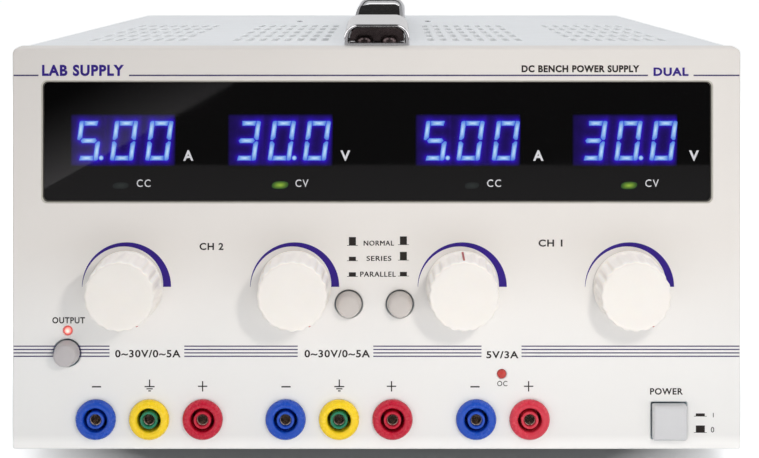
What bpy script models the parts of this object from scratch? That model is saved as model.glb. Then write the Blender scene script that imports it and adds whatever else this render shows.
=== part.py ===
"""Bench power supply with three outputs: case, handle, controls, sockets, displays
and the working parts inside.

Metres, +Z up, front panel towards -Y, +X to the right of somebody facing the panel.
Z = 0 is the plane the feet stand on. X = 0 and Y = 0 are the middle of the overall box.
Cutting shapes run a few millimetres past the faces they cut through.
"""
import math

import bmesh
import bpy
from mathutils import Matrix, Vector

MM = 0.001
GAP = 0.3 * MM                      # clearance between neighbouring pieces
NEAR = 1e-6                         # tolerance when picking edges by position

# ---- driving dimensions --------------------------------------------------
CASE_W = 260 * MM                   # width over the front bezel
BODY_H = 144 * MM                   # height of the bezel
BODY_D = 310 * MM                   # panel face to rear panel face
FOOT_H = 12 * MM                    # bezel bottom above the bench
KNOB_H = 17 * MM                    # knob face in front of the panel
GUARD_T = 3.3 * MM                  # fan guard behind the rear panel

FRONT = -(KNOB_H + BODY_D + GUARD_T) / 2 + KNOB_H   # y of the panel face
BACK = FRONT + BODY_D                               # y of the rear panel face
BOTTOM = FOOT_H                                     # z of the bezel's lower edge
TOP = FOOT_H + BODY_H                               # z of the bezel's upper edge

BEZEL_D = 8 * MM
BEZEL_PLATE = 3.2 * MM
BEZEL_WALL = 2.0 * MM
SUB_T = 1.2 * MM                                    # steel of the sub-panel and base
SUB_Y = FRONT + BEZEL_PLATE + GAP                   # front of the steel sub-panel
SUB_BACK = SUB_Y + SUB_T + GAP                      # where parts behind it start

COVER_T = 1.2 * MM
COVER_X = 129.2 * MM                                # half width
COVER_TOP = TOP - 0.6 * MM
COVER_Y0 = FRONT + BEZEL_D + GAP
BASE_X = COVER_X - COVER_T - GAP                    # half width
BASE_Z = BOTTOM + BEZEL_WALL + GAP
FLOOR_Z = BASE_Z + SUB_T + GAP                      # where parts on the base stand
REAR_T = 1.5 * MM
REAR_INNER = BACK - REAR_T - GAP                    # where parts before the rear panel end

# ---- layout of the front panel, seen from the front ----------------------
WIN_X, WIN_Z = 0.2 * MM, BOTTOM + 109.75 * MM
WIN_W, WIN_H, WIN_R = 239.8 * MM, 43.1 * MM, 1.9 * MM
DISPLAY_X = [-91.0 * MM, -34.6 * MM, 32.7 * MM, 89.0 * MM]
DISPLAY_Z = BOTTOM + 110.0 * MM

KNOB_X = [-89.2 * MM, -29.2 * MM, 30.6 * MM, 90.3 * MM]
KNOB_Z = BOTTOM + 58.0 * MM
POT_HOLE_R = 5.0 * MM

TRACK_Z = BOTTOM + 51.9 * MM
BUTTONS = [("track_left", -9.9 * MM, TRACK_Z), ("track_right", 8.3 * MM, TRACK_Z),
           ("output", -110.5 * MM, BOTTOM + 34.4 * MM)]
POWER_X, POWER_Z = 104.6 * MM, BOTTOM + 10.6 * MM
POWER_W, POWER_H = 12.6 * MM, 13.2 * MM

SOCKET_Z = BOTTOM + 10.8 * MM
SOCKET_PITCH = 19.05 * MM
SOCKET_COLOUR = {"neg": "blue", "gnd": "yellow", "pos": "red"}
SOCKET_GROUPS = [                   # group, x of its first socket, poles in order
    ("ch2", -100.1 * MM, ("neg", "gnd", "pos")),
    ("ch1", -32.4 * MM, ("neg", "gnd", "pos")),
    ("aux", 35.55 * MM, ("neg", "pos")),
]
SOCKETS = [(f"{group}_{pole}", first_x + k * SOCKET_PITCH, SOCKET_COLOUR[pole])
           for group, first_x, poles in SOCKET_GROUPS for k, pole in enumerate(poles)]

LEDS = [("output", -110.2 * MM, BOTTOM + 42.4 * MM),
        ("overcurrent", 44.7 * MM, BOTTOM + 26.9 * MM)]
LED_HOLE_R = 2.0 * MM

# ---- layout of the rear panel --------------------------------------------
FAN_X, FAN_Z, FAN_W, FAN_T = -62 * MM, 84 * MM, 80 * MM, 20 * MM
SCREW_R, SCREW_OFFSET = 2.2 * MM, 35.75 * MM
FAN_SCREWS = [(FAN_X + sx * SCREW_OFFSET, FAN_Z + sz * SCREW_OFFSET)
              for sx in (-1, 1) for sz in (-1, 1)]
INLET_X, INLET_Z = 92 * MM, 52 * MM
INLET_W, INLET_H = 27 * MM, 46 * MM

# ---- empty scene and collections ----------------------------------------
for old in list(bpy.data.objects):
    bpy.data.objects.remove(old, do_unlink=True)

parts = bpy.data.collections.new("bench_power_supply")
cutters = bpy.data.collections.new("cutters")
bpy.context.scene.collection.children.link(parts)
bpy.context.scene.collection.children.link(cutters)

# ---- materials -----------------------------------------------------------
PALETTE = {                         # base colour, roughness, metallic
    "bezel": ((0.80, 0.77, 0.74), 0.45, 0),
    "cover": ((0.74, 0.75, 0.77), 0.5, 0),
    "window": ((0.01, 0.01, 0.014), 0.08, 0),
    "steel": ((0.55, 0.56, 0.58), 0.4, 1),
    "rubber": ((0.03, 0.03, 0.03), 0.8, 0),
    "chrome": ((0.85, 0.85, 0.87), 0.1, 1),
    "strap": ((0.02, 0.02, 0.022), 0.55, 0),
    "knob": ((0.84, 0.82, 0.78), 0.4, 0),
    "button": ((0.58, 0.55, 0.52), 0.45, 0),
    "black": ((0.02, 0.02, 0.022), 0.5, 0),
    "blue": ((0.02, 0.09, 0.50), 0.3, 0),
    "yellow": ((0.93, 0.62, 0.03), 0.3, 0),
    "red": ((0.50, 0.01, 0.04), 0.3, 0),
    "led": ((0.75, 0.06, 0.05), 0.2, 0),
    "pcb": ((0.02, 0.16, 0.06), 0.5, 0),
    "copper": ((0.55, 0.25, 0.10), 0.4, 1),
    "core": ((0.16, 0.15, 0.15), 0.6, 1),
    "alu": ((0.75, 0.76, 0.78), 0.35, 1),
    "cap_sleeve": ((0.03, 0.05, 0.16), 0.4, 0),
}


def material(name, colour, roughness, metallic):
    made = bpy.data.materials.new(name)
    made.use_nodes = True
    inputs = made.node_tree.nodes["Principled BSDF"].inputs
    inputs["Base Color"].default_value = (*colour, 1)
    inputs["Roughness"].default_value = roughness
    inputs["Metallic"].default_value = metallic
    made.diffuse_color = (*colour, 1)
    return made


# ---- objects and booleans ------------------------------------------------
def mesh_object(name, shape, finish=None, origin=(0, 0, 0), smooth=None, home=parts):
    """Turn a bmesh drawn in world coordinates into an object with its origin at `origin`.

    `finish` is a PALETTE key; `smooth` is the angle in degrees above which edges stay sharp.
    """
    bmesh.ops.recalc_face_normals(shape, faces=shape.faces)
    bmesh.ops.translate(shape, verts=shape.verts, vec=-Vector(origin))
    mesh = bpy.data.meshes.new(name)
    shape.to_mesh(mesh)
    shape.free()
    made = bpy.data.objects.new(name, mesh)
    made.location = origin
    home.objects.link(made)
    if finish:
        mesh.materials.append(material("m_" + name, *PALETTE[finish]))
    if smooth is not None:
        mesh.shade_smooth()
        mesh.set_sharp_from_angle(angle=math.radians(smooth))
    return made


def boolean(target, shape, name, operation):
    tool = mesh_object(name, shape, home=cutters)
    tool.hide_render = True
    tool.display_type = "WIRE"
    modifier = target.modifiers.new(name, "BOOLEAN")
    modifier.operation = operation
    modifier.solver = "EXACT"
    modifier.object = tool


def cut(target, shape, name):
    boolean(target, shape, name, "DIFFERENCE")


def join(target, shape, name):
    boolean(target, shape, name, "UNION")


# ---- shapes --------------------------------------------------------------
def add_box(shape, x0, x1, y0, y1, z0, z1):
    verts = bmesh.ops.create_cube(shape, size=1.0)["verts"]
    centre = Matrix.Translation(((x0 + x1) / 2, (y0 + y1) / 2, (z0 + z1) / 2))
    size = Matrix.Diagonal((x1 - x0, y1 - y0, z1 - z0, 1))
    bmesh.ops.transform(shape, matrix=centre @ size, verts=verts)
    return verts


def add_block(shape, x, z, width, height, y0, y1):
    """Box centred on (x, z)."""
    add_box(shape, x - width / 2, x + width / 2, y0, y1, z - height / 2, z + height / 2)


def box(*extents):
    shape = bmesh.new()
    add_box(shape, *extents)
    return shape


def block(*sizes):
    shape = bmesh.new()
    add_block(shape, *sizes)
    return shape


def add_rods(shape, centres, radius, y0, y1, sides):
    """Cylinders along Y, one at each (x, z)."""
    for x, z in centres:
        verts = bmesh.ops.create_cone(shape, cap_ends=True, segments=sides, radius1=radius,
                                      radius2=radius, depth=y1 - y0)["verts"]
        place = Matrix.Translation((x, (y0 + y1) / 2, z)) @ Matrix.Rotation(math.pi / 2, 4, "X")
        bmesh.ops.transform(shape, matrix=place, verts=verts)


def rod(x, z, radius, y0, y1, sides):
    shape = bmesh.new()
    add_rods(shape, [(x, z)], radius, y0, y1, sides)
    return shape


def bevel(shape, test, width, segments):
    """Round the edges whose two end points pass `test`."""
    edges = [e for e in shape.edges if test(e.verts[0].co, e.verts[1].co)]
    bmesh.ops.bevel(shape, geom=edges, offset=width, offset_type="OFFSET", segments=segments,
                    profile=0.5, affect="EDGES")


def lathe(profile, steps, centre, axis="Y", ring=False):
    """Turn a profile of (radius, height) points with a Screw modifier.

    Height runs along +Y or +Z. ring=True closes a profile that stays off the axis.
    """
    area = sum(r0 * h1 - r1 * h0
               for (r0, h0), (r1, h1) in zip(profile, profile[1:] + profile[:1]))
    if area > 0:                                     # the outer side runs from top to bottom
        profile = profile[::-1]
    shape = bmesh.new()
    verts = [shape.verts.new((radius, 0, height)) for radius, height in profile]
    for start, end in zip(verts, verts[1:]):
        shape.edges.new((start, end))
    if ring:
        shape.edges.new((verts[-1], verts[0]))
    outline = bpy.data.meshes.new("outline")
    shape.to_mesh(outline)
    shape.free()
    helper = bpy.data.objects.new("outline", outline)
    cutters.objects.link(helper)
    screw = helper.modifiers.new("turn", "SCREW")
    screw.axis = "Z"
    screw.angle = 2 * math.pi
    screw.steps = screw.render_steps = steps
    screw.use_merge_vertices = True
    screw.merge_threshold = 0.00001
    depsgraph = bpy.context.evaluated_depsgraph_get()
    turned = bpy.data.meshes.new_from_object(helper.evaluated_get(depsgraph))
    bpy.data.objects.remove(helper, do_unlink=True)
    shape = bmesh.new()
    shape.from_mesh(turned)
    bpy.data.meshes.remove(turned)
    bmesh.ops.remove_doubles(shape, verts=shape.verts, dist=1e-7)
    if axis == "Y":
        lay_down = Matrix.Rotation(-math.pi / 2, 4, "X")
        bmesh.ops.transform(shape, matrix=lay_down, verts=shape.verts)
    bmesh.ops.translate(shape, verts=shape.verts, vec=centre)
    return shape


def prism(points, start, end, axis="Y"):
    """Extrude a closed outline. axis Y: points are (x, z); axis X: points are (y, z)."""
    if axis == "Y":
        corners = [(x, start, z) for x, z in points]
        step = (0, end - start, 0)
    else:
        corners = [(start, y, z) for y, z in points]
        step = (end - start, 0, 0)
    shape = bmesh.new()
    face = shape.faces.new([shape.verts.new(corner) for corner in corners])
    extruded = bmesh.ops.extrude_face_region(shape, geom=[face])["geom"]
    moved = [part for part in extruded if isinstance(part, bmesh.types.BMVert)]
    bmesh.ops.translate(shape, verts=moved, vec=step)
    return shape


# ---- outlines in (x, z) --------------------------------------------------
def quarter(x, z, radius, steps, start=0):
    """Quarter circle about (x, z), anticlockwise from `start` degrees."""
    angles = [math.radians(start + 90 * i / steps) for i in range(steps + 1)]
    return [(x + radius * math.cos(a), z + radius * math.sin(a)) for a in angles]


def rounded(x, z, width, height, radius, steps):
    """Rectangle centred on (x, z) with rounded corners."""
    dx, dz = width / 2 - radius, height / 2 - radius
    points = []
    for sx, sz, start in ((1, 1, 0), (-1, 1, 90), (-1, -1, 180), (1, -1, 270)):
        points += quarter(x + sx * dx, z + sz * dz, radius, steps, start)
    return points


def mirrored(points):
    """The same points across X = 0, in reverse order."""
    return [(-x, z) for x, z in reversed(points)]


# ---- front bezel and the openings for the controls -----------------------
def near(a, b):
    return abs(a - b) < NEAR


def top_front_edge(a, b):
    return near(a.z, TOP) and near(b.z, TOP) and near(a.y, FRONT) and near(b.y, FRONT)


def top_side_edge(a, b):
    along_y = not near(a.y, b.y) and near(a.z, b.z) and near(a.x, b.x)
    return along_y and near(abs(a.x), CASE_W / 2) and a.z > TOP - NEAR


def panel_holes(y0, y1, socket_r, button_r, power_grow, sides):
    """All round and square openings behind the front controls, as separate rods."""
    holes = bmesh.new()
    add_rods(holes, [(x, SOCKET_Z) for _, x, _ in SOCKETS], socket_r, y0, y1, sides)
    add_rods(holes, [(x, KNOB_Z) for x in KNOB_X], POT_HOLE_R, y0, y1, sides)
    add_rods(holes, [(x, z) for _, x, z in BUTTONS], button_r, y0, y1, sides)
    add_rods(holes, [(x, z) for _, x, z in LEDS], LED_HOLE_R, y0, y1, 12)
    add_block(holes, POWER_X, POWER_Z, POWER_W + 2 * power_grow, POWER_H + 2 * power_grow, y0, y1)
    return holes


def front_bezel():
    shape = box(-CASE_W / 2, CASE_W / 2, FRONT, FRONT + BEZEL_D, BOTTOM, TOP)
    bevel(shape, top_front_edge, 3.4 * MM, 3)
    bevel(shape, top_side_edge, 2.6 * MM, 3)
    bezel = mesh_object("front_bezel", shape, "bezel", smooth=30)

    inner_x = CASE_W / 2 - BEZEL_WALL
    cut(bezel, box(-inner_x, inner_x, FRONT + BEZEL_PLATE, FRONT + BEZEL_D + 5 * MM,
                   BOTTOM + BEZEL_WALL, TOP - BEZEL_WALL), "cut_bezel_back")
    opening = rounded(WIN_X, WIN_Z, WIN_W + 2 * GAP, WIN_H + 2 * GAP, WIN_R + GAP, 3)
    cut(bezel, prism(opening, FRONT - 5 * MM, FRONT + 5 * MM), "cut_bezel_window")
    cut(bezel, panel_holes(FRONT - 3 * MM, FRONT + 6 * MM, socket_r=6.1 * MM, button_r=5.0 * MM,
                           power_grow=0.4 * MM, sides=20), "cut_bezel_holes")


def display_window():
    face = FRONT + 0.2 * MM
    shape = prism(rounded(WIN_X, WIN_Z, WIN_W, WIN_H, WIN_R, 3), face, FRONT + 2.7 * MM)
    bevel(shape, lambda a, b: near(a.y, face) and near(b.y, face), 0.5 * MM, 1)
    mesh_object("display_window", shape, "window", smooth=30)


# ---- base tray with the steel sub-panel ---------------------------------
def chassis_base():
    panel_top = TOP - BEZEL_WALL - GAP
    profile = [                                      # (y, z): an L seen from the side
        (SUB_Y, BASE_Z), (REAR_INNER, BASE_Z), (REAR_INNER, BASE_Z + SUB_T),
        (SUB_Y + SUB_T, BASE_Z + SUB_T), (SUB_Y + SUB_T, panel_top), (SUB_Y, panel_top),
    ]
    base = mesh_object("chassis_base", prism(profile, -BASE_X, BASE_X, axis="X"), "steel")
    lips = bmesh.new()
    for side in (-1, 1):
        x0, x1 = sorted((side * BASE_X, side * (BASE_X - SUB_T)))
        add_box(lips, x0, x1, COVER_Y0 + 1 * MM, REAR_INNER - 1 * MM,
                BASE_Z + 0.3 * MM, BASE_Z + 14 * MM)
    join(base, lips, "join_base_lips")
    y0, y1 = SUB_Y - 3 * MM, SUB_Y + 4 * MM
    cut(base, block(0, WIN_Z, 234 * MM, WIN_H - 6 * MM, y0, y1), "cut_base_window")
    cut(base, panel_holes(y0, y1, socket_r=6.0 * MM, button_r=2.6 * MM,
                          power_grow=-2.2 * MM, sides=12), "cut_base_holes")


# ---- cover with its ventilation slots -----------------------------------
COVER_R = 2.2 * MM
SLOT_PITCH, SLOT_W, SLOT_L = 4.89 * MM, 2.6 * MM, 22 * MM
SLOT_BANK_X = (-110.5 * MM, -54.8 * MM, 20.5 * MM, 76.2 * MM)   # first slot of each bank
SLOTS_PER_BANK = 8
SLOT_ROWS = 5
SLOT_ROW_Y, SLOT_ROW_PITCH = FRONT + 58 * MM, 29.6 * MM


def top_cover():
    lower_z = BOTTOM + 1.2 * MM
    corner = (COVER_X - COVER_R, COVER_TOP - COVER_R)
    outer = [(COVER_X, lower_z)] + quarter(*corner, COVER_R, 3)
    inner = [(COVER_X - COVER_T, lower_z)] + quarter(*corner, COVER_R - COVER_T, 3)
    inner.reverse()
    outline = outer + mirrored(outer) + mirrored(inner) + inner
    cover = mesh_object("top_cover", prism(outline, COVER_Y0, BACK), "cover", smooth=35)

    slots = bmesh.new()
    for bank_x in SLOT_BANK_X:
        for column in range(SLOTS_PER_BANK):
            for row in range(SLOT_ROWS):
                x = bank_x + column * SLOT_PITCH
                y = SLOT_ROW_Y + row * SLOT_ROW_PITCH
                add_box(slots, x - SLOT_W / 2, x + SLOT_W / 2, y - SLOT_L / 2, y + SLOT_L / 2,
                        COVER_TOP - 4 * MM, COVER_TOP + 3 * MM)
    cut(cover, slots, "cut_cover_slots")


def rear_panel():
    rear = mesh_object("rear_panel", box(-BASE_X, BASE_X, BACK - REAR_T, BACK,
                                         BOTTOM + 1.4 * MM, COVER_TOP - COVER_T - GAP), "steel")
    y0, y1 = BACK - 5 * MM, BACK + 5 * MM
    holes = bmesh.new()
    add_rods(holes, [(FAN_X, FAN_Z)], 37.5 * MM, y0, y1, 32)
    add_rods(holes, FAN_SCREWS, SCREW_R, y0, y1, 10)
    add_block(holes, INLET_X, INLET_Z, INLET_W + 2 * GAP, INLET_H + 2 * GAP, y0, y1)
    cut(rear, holes, "cut_rear")


# ---- feet ----------------------------------------------------------------
FOOT_X = 100 * MM


def feet():
    top = BASE_Z - GAP
    profile = [(0, 6 * MM), (3.4 * MM, 6 * MM), (3.4 * MM, 0), (8.0 * MM, 0),
               (9.0 * MM, 1.0 * MM), (10.5 * MM, top), (0, top)]
    for end, y in (("front", FRONT + 54 * MM), ("rear", BACK - 30 * MM)):
        for side, x in (("left", -FOOT_X), ("right", FOOT_X)):
            mesh_object(f"foot_{end}_{side}", lathe(profile, 18, (x, y, 0), "Z"), "rubber",
                        smooth=40)


# ---- handle: two metal caps and a strap in three lengths -----------------
STRAP_W, STRAP_T = 20.0 * MM, 4.0 * MM
STRAP_CHAMFER = 1.2 * MM
CAP_W, CAP_L = 24.0 * MM, 35.0 * MM
CAP_Y0 = COVER_Y0 + 1.2 * MM                        # front end of the front cap
STRAP_MID = (COVER_Y0 + BACK) / 2
HINGE_Y = STRAP_MID - 57.5 * MM                     # front hinge line of the strap
HINGE_Z = COVER_TOP + 6.3 * MM
HINGE_GAP = 0.8 * MM                                # strap left out on each side of a hinge
STRAP_END_Y = CAP_Y0 + CAP_L - 9.0 * MM             # end of the strap inside the front cap
STRAP_END_Z = COVER_TOP + 3.9 * MM
STRAP_RISE = 2.0 * MM                               # how far the grip bows up between hinges


def mirror_y(shape):
    """Move a front handle part to the rear end."""
    bmesh.ops.scale(shape, vec=(1, -1, 1), verts=shape.verts)
    bmesh.ops.translate(shape, verts=shape.verts, vec=(0, 2 * STRAP_MID, 0))


def arched_bar(width, z0, z1, radius, y0, y1, rise):
    """Flat-bottomed bar with rounded shoulders, its roof climbing by `rise` towards y1."""
    half = [(width / 2, z0)] + quarter(width / 2 - radius, z1 - radius, radius, 4)
    shape = prism(half + mirrored(half), y0, y1)
    for vert in shape.verts:
        if vert.co.z > z0 + 1 * MM and vert.co.y > y0 + 1 * MM:
            vert.co.z += rise
    return shape


def strap_length(y0, y1):
    """A straight length of strap along Y, drawn about Z = 0, with chamfered long edges."""
    x, z, c = STRAP_W / 2, STRAP_T / 2, STRAP_CHAMFER
    half = [(x - c, -z), (x, -z + c), (x, z - c), (x - c, z)]
    return prism(half + mirrored(half), y0, y1)


def strap_grip():
    half = STRAP_MID - HINGE_Y - HINGE_GAP
    shape = strap_length(STRAP_MID - half, STRAP_MID + half)
    long_edges = [e for e in shape.edges if abs(e.verts[0].co.y - e.verts[1].co.y) > half]
    bmesh.ops.subdivide_edges(shape, edges=long_edges, cuts=11, use_grid_fill=True)
    for vert in shape.verts:
        vert.co.z += HINGE_Z + STRAP_RISE * (1 - ((vert.co.y - STRAP_MID) / half) ** 2)
    mesh_object("strap_grip", shape, "strap", origin=(0, STRAP_MID, HINGE_Z))


def handle_end(end):
    """Cap and sloping strap length at the "front" or "rear" end."""
    body = arched_bar(CAP_W, COVER_TOP + GAP, COVER_TOP + 7.8 * MM, 4.6 * MM,
                      CAP_Y0, CAP_Y0 + CAP_L, 2.4 * MM)
    bore = arched_bar(STRAP_W + 0.6 * MM, COVER_TOP + 1.3 * MM, COVER_TOP + 6.8 * MM, 3.4 * MM,
                      CAP_Y0 - 1 * MM, CAP_Y0 + CAP_L + 1 * MM, 2.5 * MM)
    run, drop = HINGE_Y - STRAP_END_Y, HINGE_Z - STRAP_END_Z
    strap = strap_length(-math.hypot(drop, run), -HINGE_GAP)
    slope = Matrix.Rotation(math.atan2(drop, run), 4, "X")
    place = Matrix.Translation((0, HINGE_Y, HINGE_Z)) @ slope
    bmesh.ops.transform(strap, matrix=place, verts=strap.verts)
    hinge_y = HINGE_Y
    if end == "rear":
        hinge_y = 2 * STRAP_MID - HINGE_Y
        for shape in (body, bore, strap):
            mirror_y(shape)
    cap = mesh_object(f"handle_cap_{end}", body, "chrome", smooth=40)
    cut(cap, bore, f"cut_cap_{end}")
    mesh_object(f"strap_{end}", strap, "strap", origin=(0, hinge_y, HINGE_Z))


# ---- knobs, shafts and potentiometers -----------------------------------
FLUTES = 18
FLUTE_DEPTH = 0.45 * MM
KNOB_BACK_R, KNOB_FACE_R = 13.1 * MM, 12.2 * MM
KNOB_BORE = 12.5 * MM                               # depth of the shaft bore
SHAFT_R = 3.0 * MM
SHAFT_TIP, SHAFT_TAIL = FRONT - 12.4 * MM, FRONT + 12.6 * MM
BORE_R = SHAFT_R + GAP


def knob(number, x):
    back, face = FRONT - 0.4 * MM, FRONT - KNOB_H
    profile = [
        (0, back - KNOB_BORE), (BORE_R, back - KNOB_BORE), (BORE_R, back),
        (KNOB_BACK_R, back), (KNOB_BACK_R, back - 2.2 * MM),
        (KNOB_BACK_R - 0.3 * MM, back - 2.8 * MM), (KNOB_FACE_R + 0.1 * MM, face + 1.0 * MM),
        (KNOB_FACE_R - 0.9 * MM, face), (0, face),
    ]
    shape = lathe(profile, 2 * FLUTES, (x, 0, KNOB_Z))
    for vert in shape.verts:                         # shallow flutes on every second rib
        outward = Vector((vert.co.x - x, 0, vert.co.z - KNOB_Z))
        if outward.length > KNOB_FACE_R - 1.5 * MM and vert.co.y < back - 2.4 * MM:
            rib = round(math.atan2(outward.z, outward.x) / (math.pi / FLUTES))
            if rib % 2:
                vert.co -= outward.normalized() * FLUTE_DEPTH
    mesh_object(f"knob_{number}", shape, "knob", origin=(x, FRONT, KNOB_Z), smooth=28)


def potentiometer(number, x):
    shaft = [(0, SHAFT_TIP), (SHAFT_R, SHAFT_TIP), (SHAFT_R, SHAFT_TAIL), (0, SHAFT_TAIL)]
    mesh_object(f"pot_shaft_{number}", lathe(shaft, 14, (x, 0, KNOB_Z)), "alu",
                origin=(x, FRONT, KNOB_Z), smooth=30)
    bush_r, bush_y = 4.6 * MM, FRONT + 1.0 * MM
    body_r, body_back = 11.5 * MM, SUB_BACK + 11 * MM
    body = [(0, SHAFT_TAIL + GAP), (BORE_R, SHAFT_TAIL + GAP), (BORE_R, bush_y),
            (bush_r, bush_y), (bush_r, SUB_BACK), (body_r, SUB_BACK), (body_r, body_back),
            (0, body_back)]
    mesh_object(f"pot_body_{number}", lathe(body, 18, (x, 0, KNOB_Z)), "alu", smooth=30)


# ---- push buttons and their switches ------------------------------------
BUTTON_SEAT = FRONT + 0.15 * MM
BUTTON_OUT = 5.5 * MM
STEM_R = 2.0 * MM                                   # also half the square power stem
STEM_HOLE_R = STEM_R + 0.3 * MM


def round_button(tag, x, z):
    face, stem_end = FRONT - BUTTON_OUT, FRONT + 8.6 * MM
    profile = [
        (0, face), (2.6 * MM, face + 0.15 * MM), (3.7 * MM, face + 0.6 * MM),
        (4.1 * MM, face + 1.4 * MM), (4.65 * MM, BUTTON_SEAT), (STEM_R, BUTTON_SEAT),
        (STEM_R, stem_end), (0, stem_end),
    ]
    mesh_object(f"button_{tag}", lathe(profile, 18, (x, 0, z)), "button",
                origin=(x, FRONT, z), smooth=40)
    switch = mesh_object(f"switch_{tag}", block(x, z, 9 * MM, 10 * MM,
                                                SUB_BACK, SUB_BACK + 16 * MM), "black")
    cut(switch, rod(x, z, STEM_HOLE_R, SUB_BACK - 2 * MM, FRONT + 12.6 * MM, 12),
        f"cut_switch_{tag}")


def power_button():
    shape = block(POWER_X, POWER_Z, POWER_W, POWER_H, FRONT - 4.0 * MM, BUTTON_SEAT)
    bevel(shape, lambda a, b: not (a.y > FRONT and b.y > FRONT), 0.7 * MM, 2)
    button = mesh_object("button_power", shape, "button", origin=(POWER_X, FRONT, POWER_Z),
                         smooth=30)
    join(button, block(POWER_X, POWER_Z, 2 * STEM_R, 2 * STEM_R,
                       FRONT - 1.0 * MM, FRONT + 9.0 * MM), "join_power_stem")
    switch = mesh_object("switch_power", box(POWER_X - 8 * MM, POWER_X + 8 * MM,
                                             SUB_BACK, SUB_BACK + 26 * MM,
                                             FLOOR_Z, BASE_Z + 19 * MM), "black")
    cut(switch, block(POWER_X, POWER_Z, 2 * STEM_HOLE_R, 2 * STEM_HOLE_R,
                      SUB_BACK - 2 * MM, FRONT + 13.2 * MM), "cut_switch_power")


# ---- 4 mm safety sockets and indicator lamps -----------------------------
def socket(tag, x, colour):
    face, seat = FRONT - 2.6 * MM, FRONT - GAP
    profile = [
        # centre contact and the deep ring around it
        (0, FRONT + 18 * MM), (2.07 * MM, FRONT + 18 * MM), (2.07 * MM, face + 1.0 * MM),
        (3.14 * MM, face + 1.0 * MM), (3.14 * MM, FRONT + 12 * MM),
        (4.2 * MM, FRONT + 12 * MM),
        # collar in front of the panel
        (4.2 * MM, face + 0.6 * MM), (5.2 * MM, face), (6.5 * MM, face + 0.5 * MM),
        (7.2 * MM, face + 1.5 * MM), (7.2 * MM, seat),
        # barrel and rear pin
        (5.65 * MM, seat), (5.65 * MM, FRONT + 20 * MM), (2.0 * MM, FRONT + 20 * MM),
        (2.0 * MM, FRONT + 26 * MM), (0, FRONT + 26 * MM),
    ]
    mesh_object(f"socket_{tag}", lathe(profile, 18, (x, 0, SOCKET_Z)), colour, smooth=35)


def led(tag, x, z):
    face, tail = FRONT - 1.0 * MM, FRONT + 9 * MM
    profile = [(0, face), (0.9 * MM, face + 0.25 * MM), (1.6 * MM, face + 1.1 * MM),
               (1.6 * MM, tail), (0, tail)]
    mesh_object(f"led_{tag}", lathe(profile, 12, (x, 0, z)), "led", smooth=40)


def displays():
    """Four digit modules and the board behind them."""
    y0, y1 = FRONT + 3.1 * MM, FRONT + 10.0 * MM
    for number, x in enumerate(DISPLAY_X, 1):
        mesh_object(f"display_{number}", block(x, DISPLAY_Z, 37.7 * MM, 18.8 * MM, y0, y1),
                    "black")
    mesh_object("display_board", block(0, DISPLAY_Z, 232 * MM, 48 * MM,
                                       y1 + GAP, y1 + GAP + 1.6 * MM), "pcb")


# ---- mains transformer ---------------------------------------------------
LIMB = 17 * MM                                      # outer limbs, yokes and windows
COIL_CLEAR = 0.4 * MM


def transformer():
    x0, x1, y0, y1 = 12 * MM, 112 * MM, 18 * MM, 78 * MM
    z0, z1 = FLOOR_Z, FLOOR_Z + 84 * MM
    core = mesh_object("transformer_core", box(x0, x1, y0, y1, z0, z1), "core")
    windows = bmesh.new()
    for left in (x0 + LIMB, x1 - 2 * LIMB):
        add_box(windows, left, left + LIMB, y0 - 5 * MM, y1 + 5 * MM, z0 + LIMB, z1 - LIMB)
    cut(core, windows, "cut_core_windows")

    inset = LIMB + COIL_CLEAR
    shape = box(x0 + inset, x1 - inset, y0 - LIMB, y1 + LIMB, z0 + inset, z1 - inset)
    bevel(shape, lambda a, b: abs(a.z - b.z) > 1 * MM, 6 * MM, 3)
    coil = mesh_object("transformer_coil", shape, "copper", smooth=35)
    middle = 2 * LIMB - COIL_CLEAR
    cut(coil, box(x0 + middle, x1 - middle, y0 - COIL_CLEAR, y1 + COIL_CLEAR, z0, z1),
        "cut_coil")


# ---- regulator board, capacitors and heat sink --------------------------
BOARD_Z, BOARD_T = 20 * MM, 1.6 * MM


def main_board():
    board = mesh_object("main_board", box(-120 * MM, 4 * MM, -105 * MM, 36 * MM,
                                          BOARD_Z, BOARD_Z + BOARD_T), "pcb")
    post_top = BOARD_Z + 0.5 * MM
    posts = bmesh.new()
    for x in (-114 * MM, -2 * MM):
        for y in (-99 * MM, 30 * MM):
            verts = bmesh.ops.create_cone(posts, cap_ends=True, segments=6, radius1=3 * MM,
                                          radius2=3 * MM, depth=post_top - FLOOR_Z)["verts"]
            bmesh.ops.translate(posts, verts=verts, vec=(x, y, (post_top + FLOOR_Z) / 2))
    join(board, posts, "join_board_posts")


def capacitors():
    z = BOARD_Z + BOARD_T + GAP
    profile = [(0, z), (16.5 * MM, z), (17.5 * MM, z + 1 * MM), (17.5 * MM, z + 51 * MM),
               (16 * MM, z + 52 * MM), (0, z + 52 * MM)]
    for number, x in enumerate((-92 * MM, -50 * MM), 1):
        mesh_object(f"capacitor_{number}", lathe(profile, 20, (x, -20 * MM, 0), "Z"),
                    "cap_sleeve", smooth=40)


def heat_sink():
    """Upright plate standing on the base, its fins pointing towards -X."""
    plate_x0, plate_x1, tip_x = -20 * MM, -14 * MM, -104 * MM
    z0, z1 = 50 * MM, 118 * MM
    fins, fin_t = 9, 1.8 * MM
    pitch = (z1 - z0 - fin_t) / (fins - 1)
    points = [(plate_x1, FLOOR_Z), (plate_x1, z1)]
    for k in reversed(range(fins)):
        z = z0 + k * pitch
        points += [(tip_x, z + fin_t), (tip_x, z)]
        if k:
            points += [(plate_x0, z), (plate_x0, z - pitch + fin_t)]
    points += [(plate_x0, z0), (plate_x0, FLOOR_Z)]
    mesh_object("heat_sink", prism(points, 48 * MM, 126 * MM), "alu")


# ---- fan and guard -------------------------------------------------------
FAN_Y1 = REAR_INNER
FAN_Y0 = FAN_Y1 - FAN_T
FAN_BORE_R = 38 * MM
BLADES = 7


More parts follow.
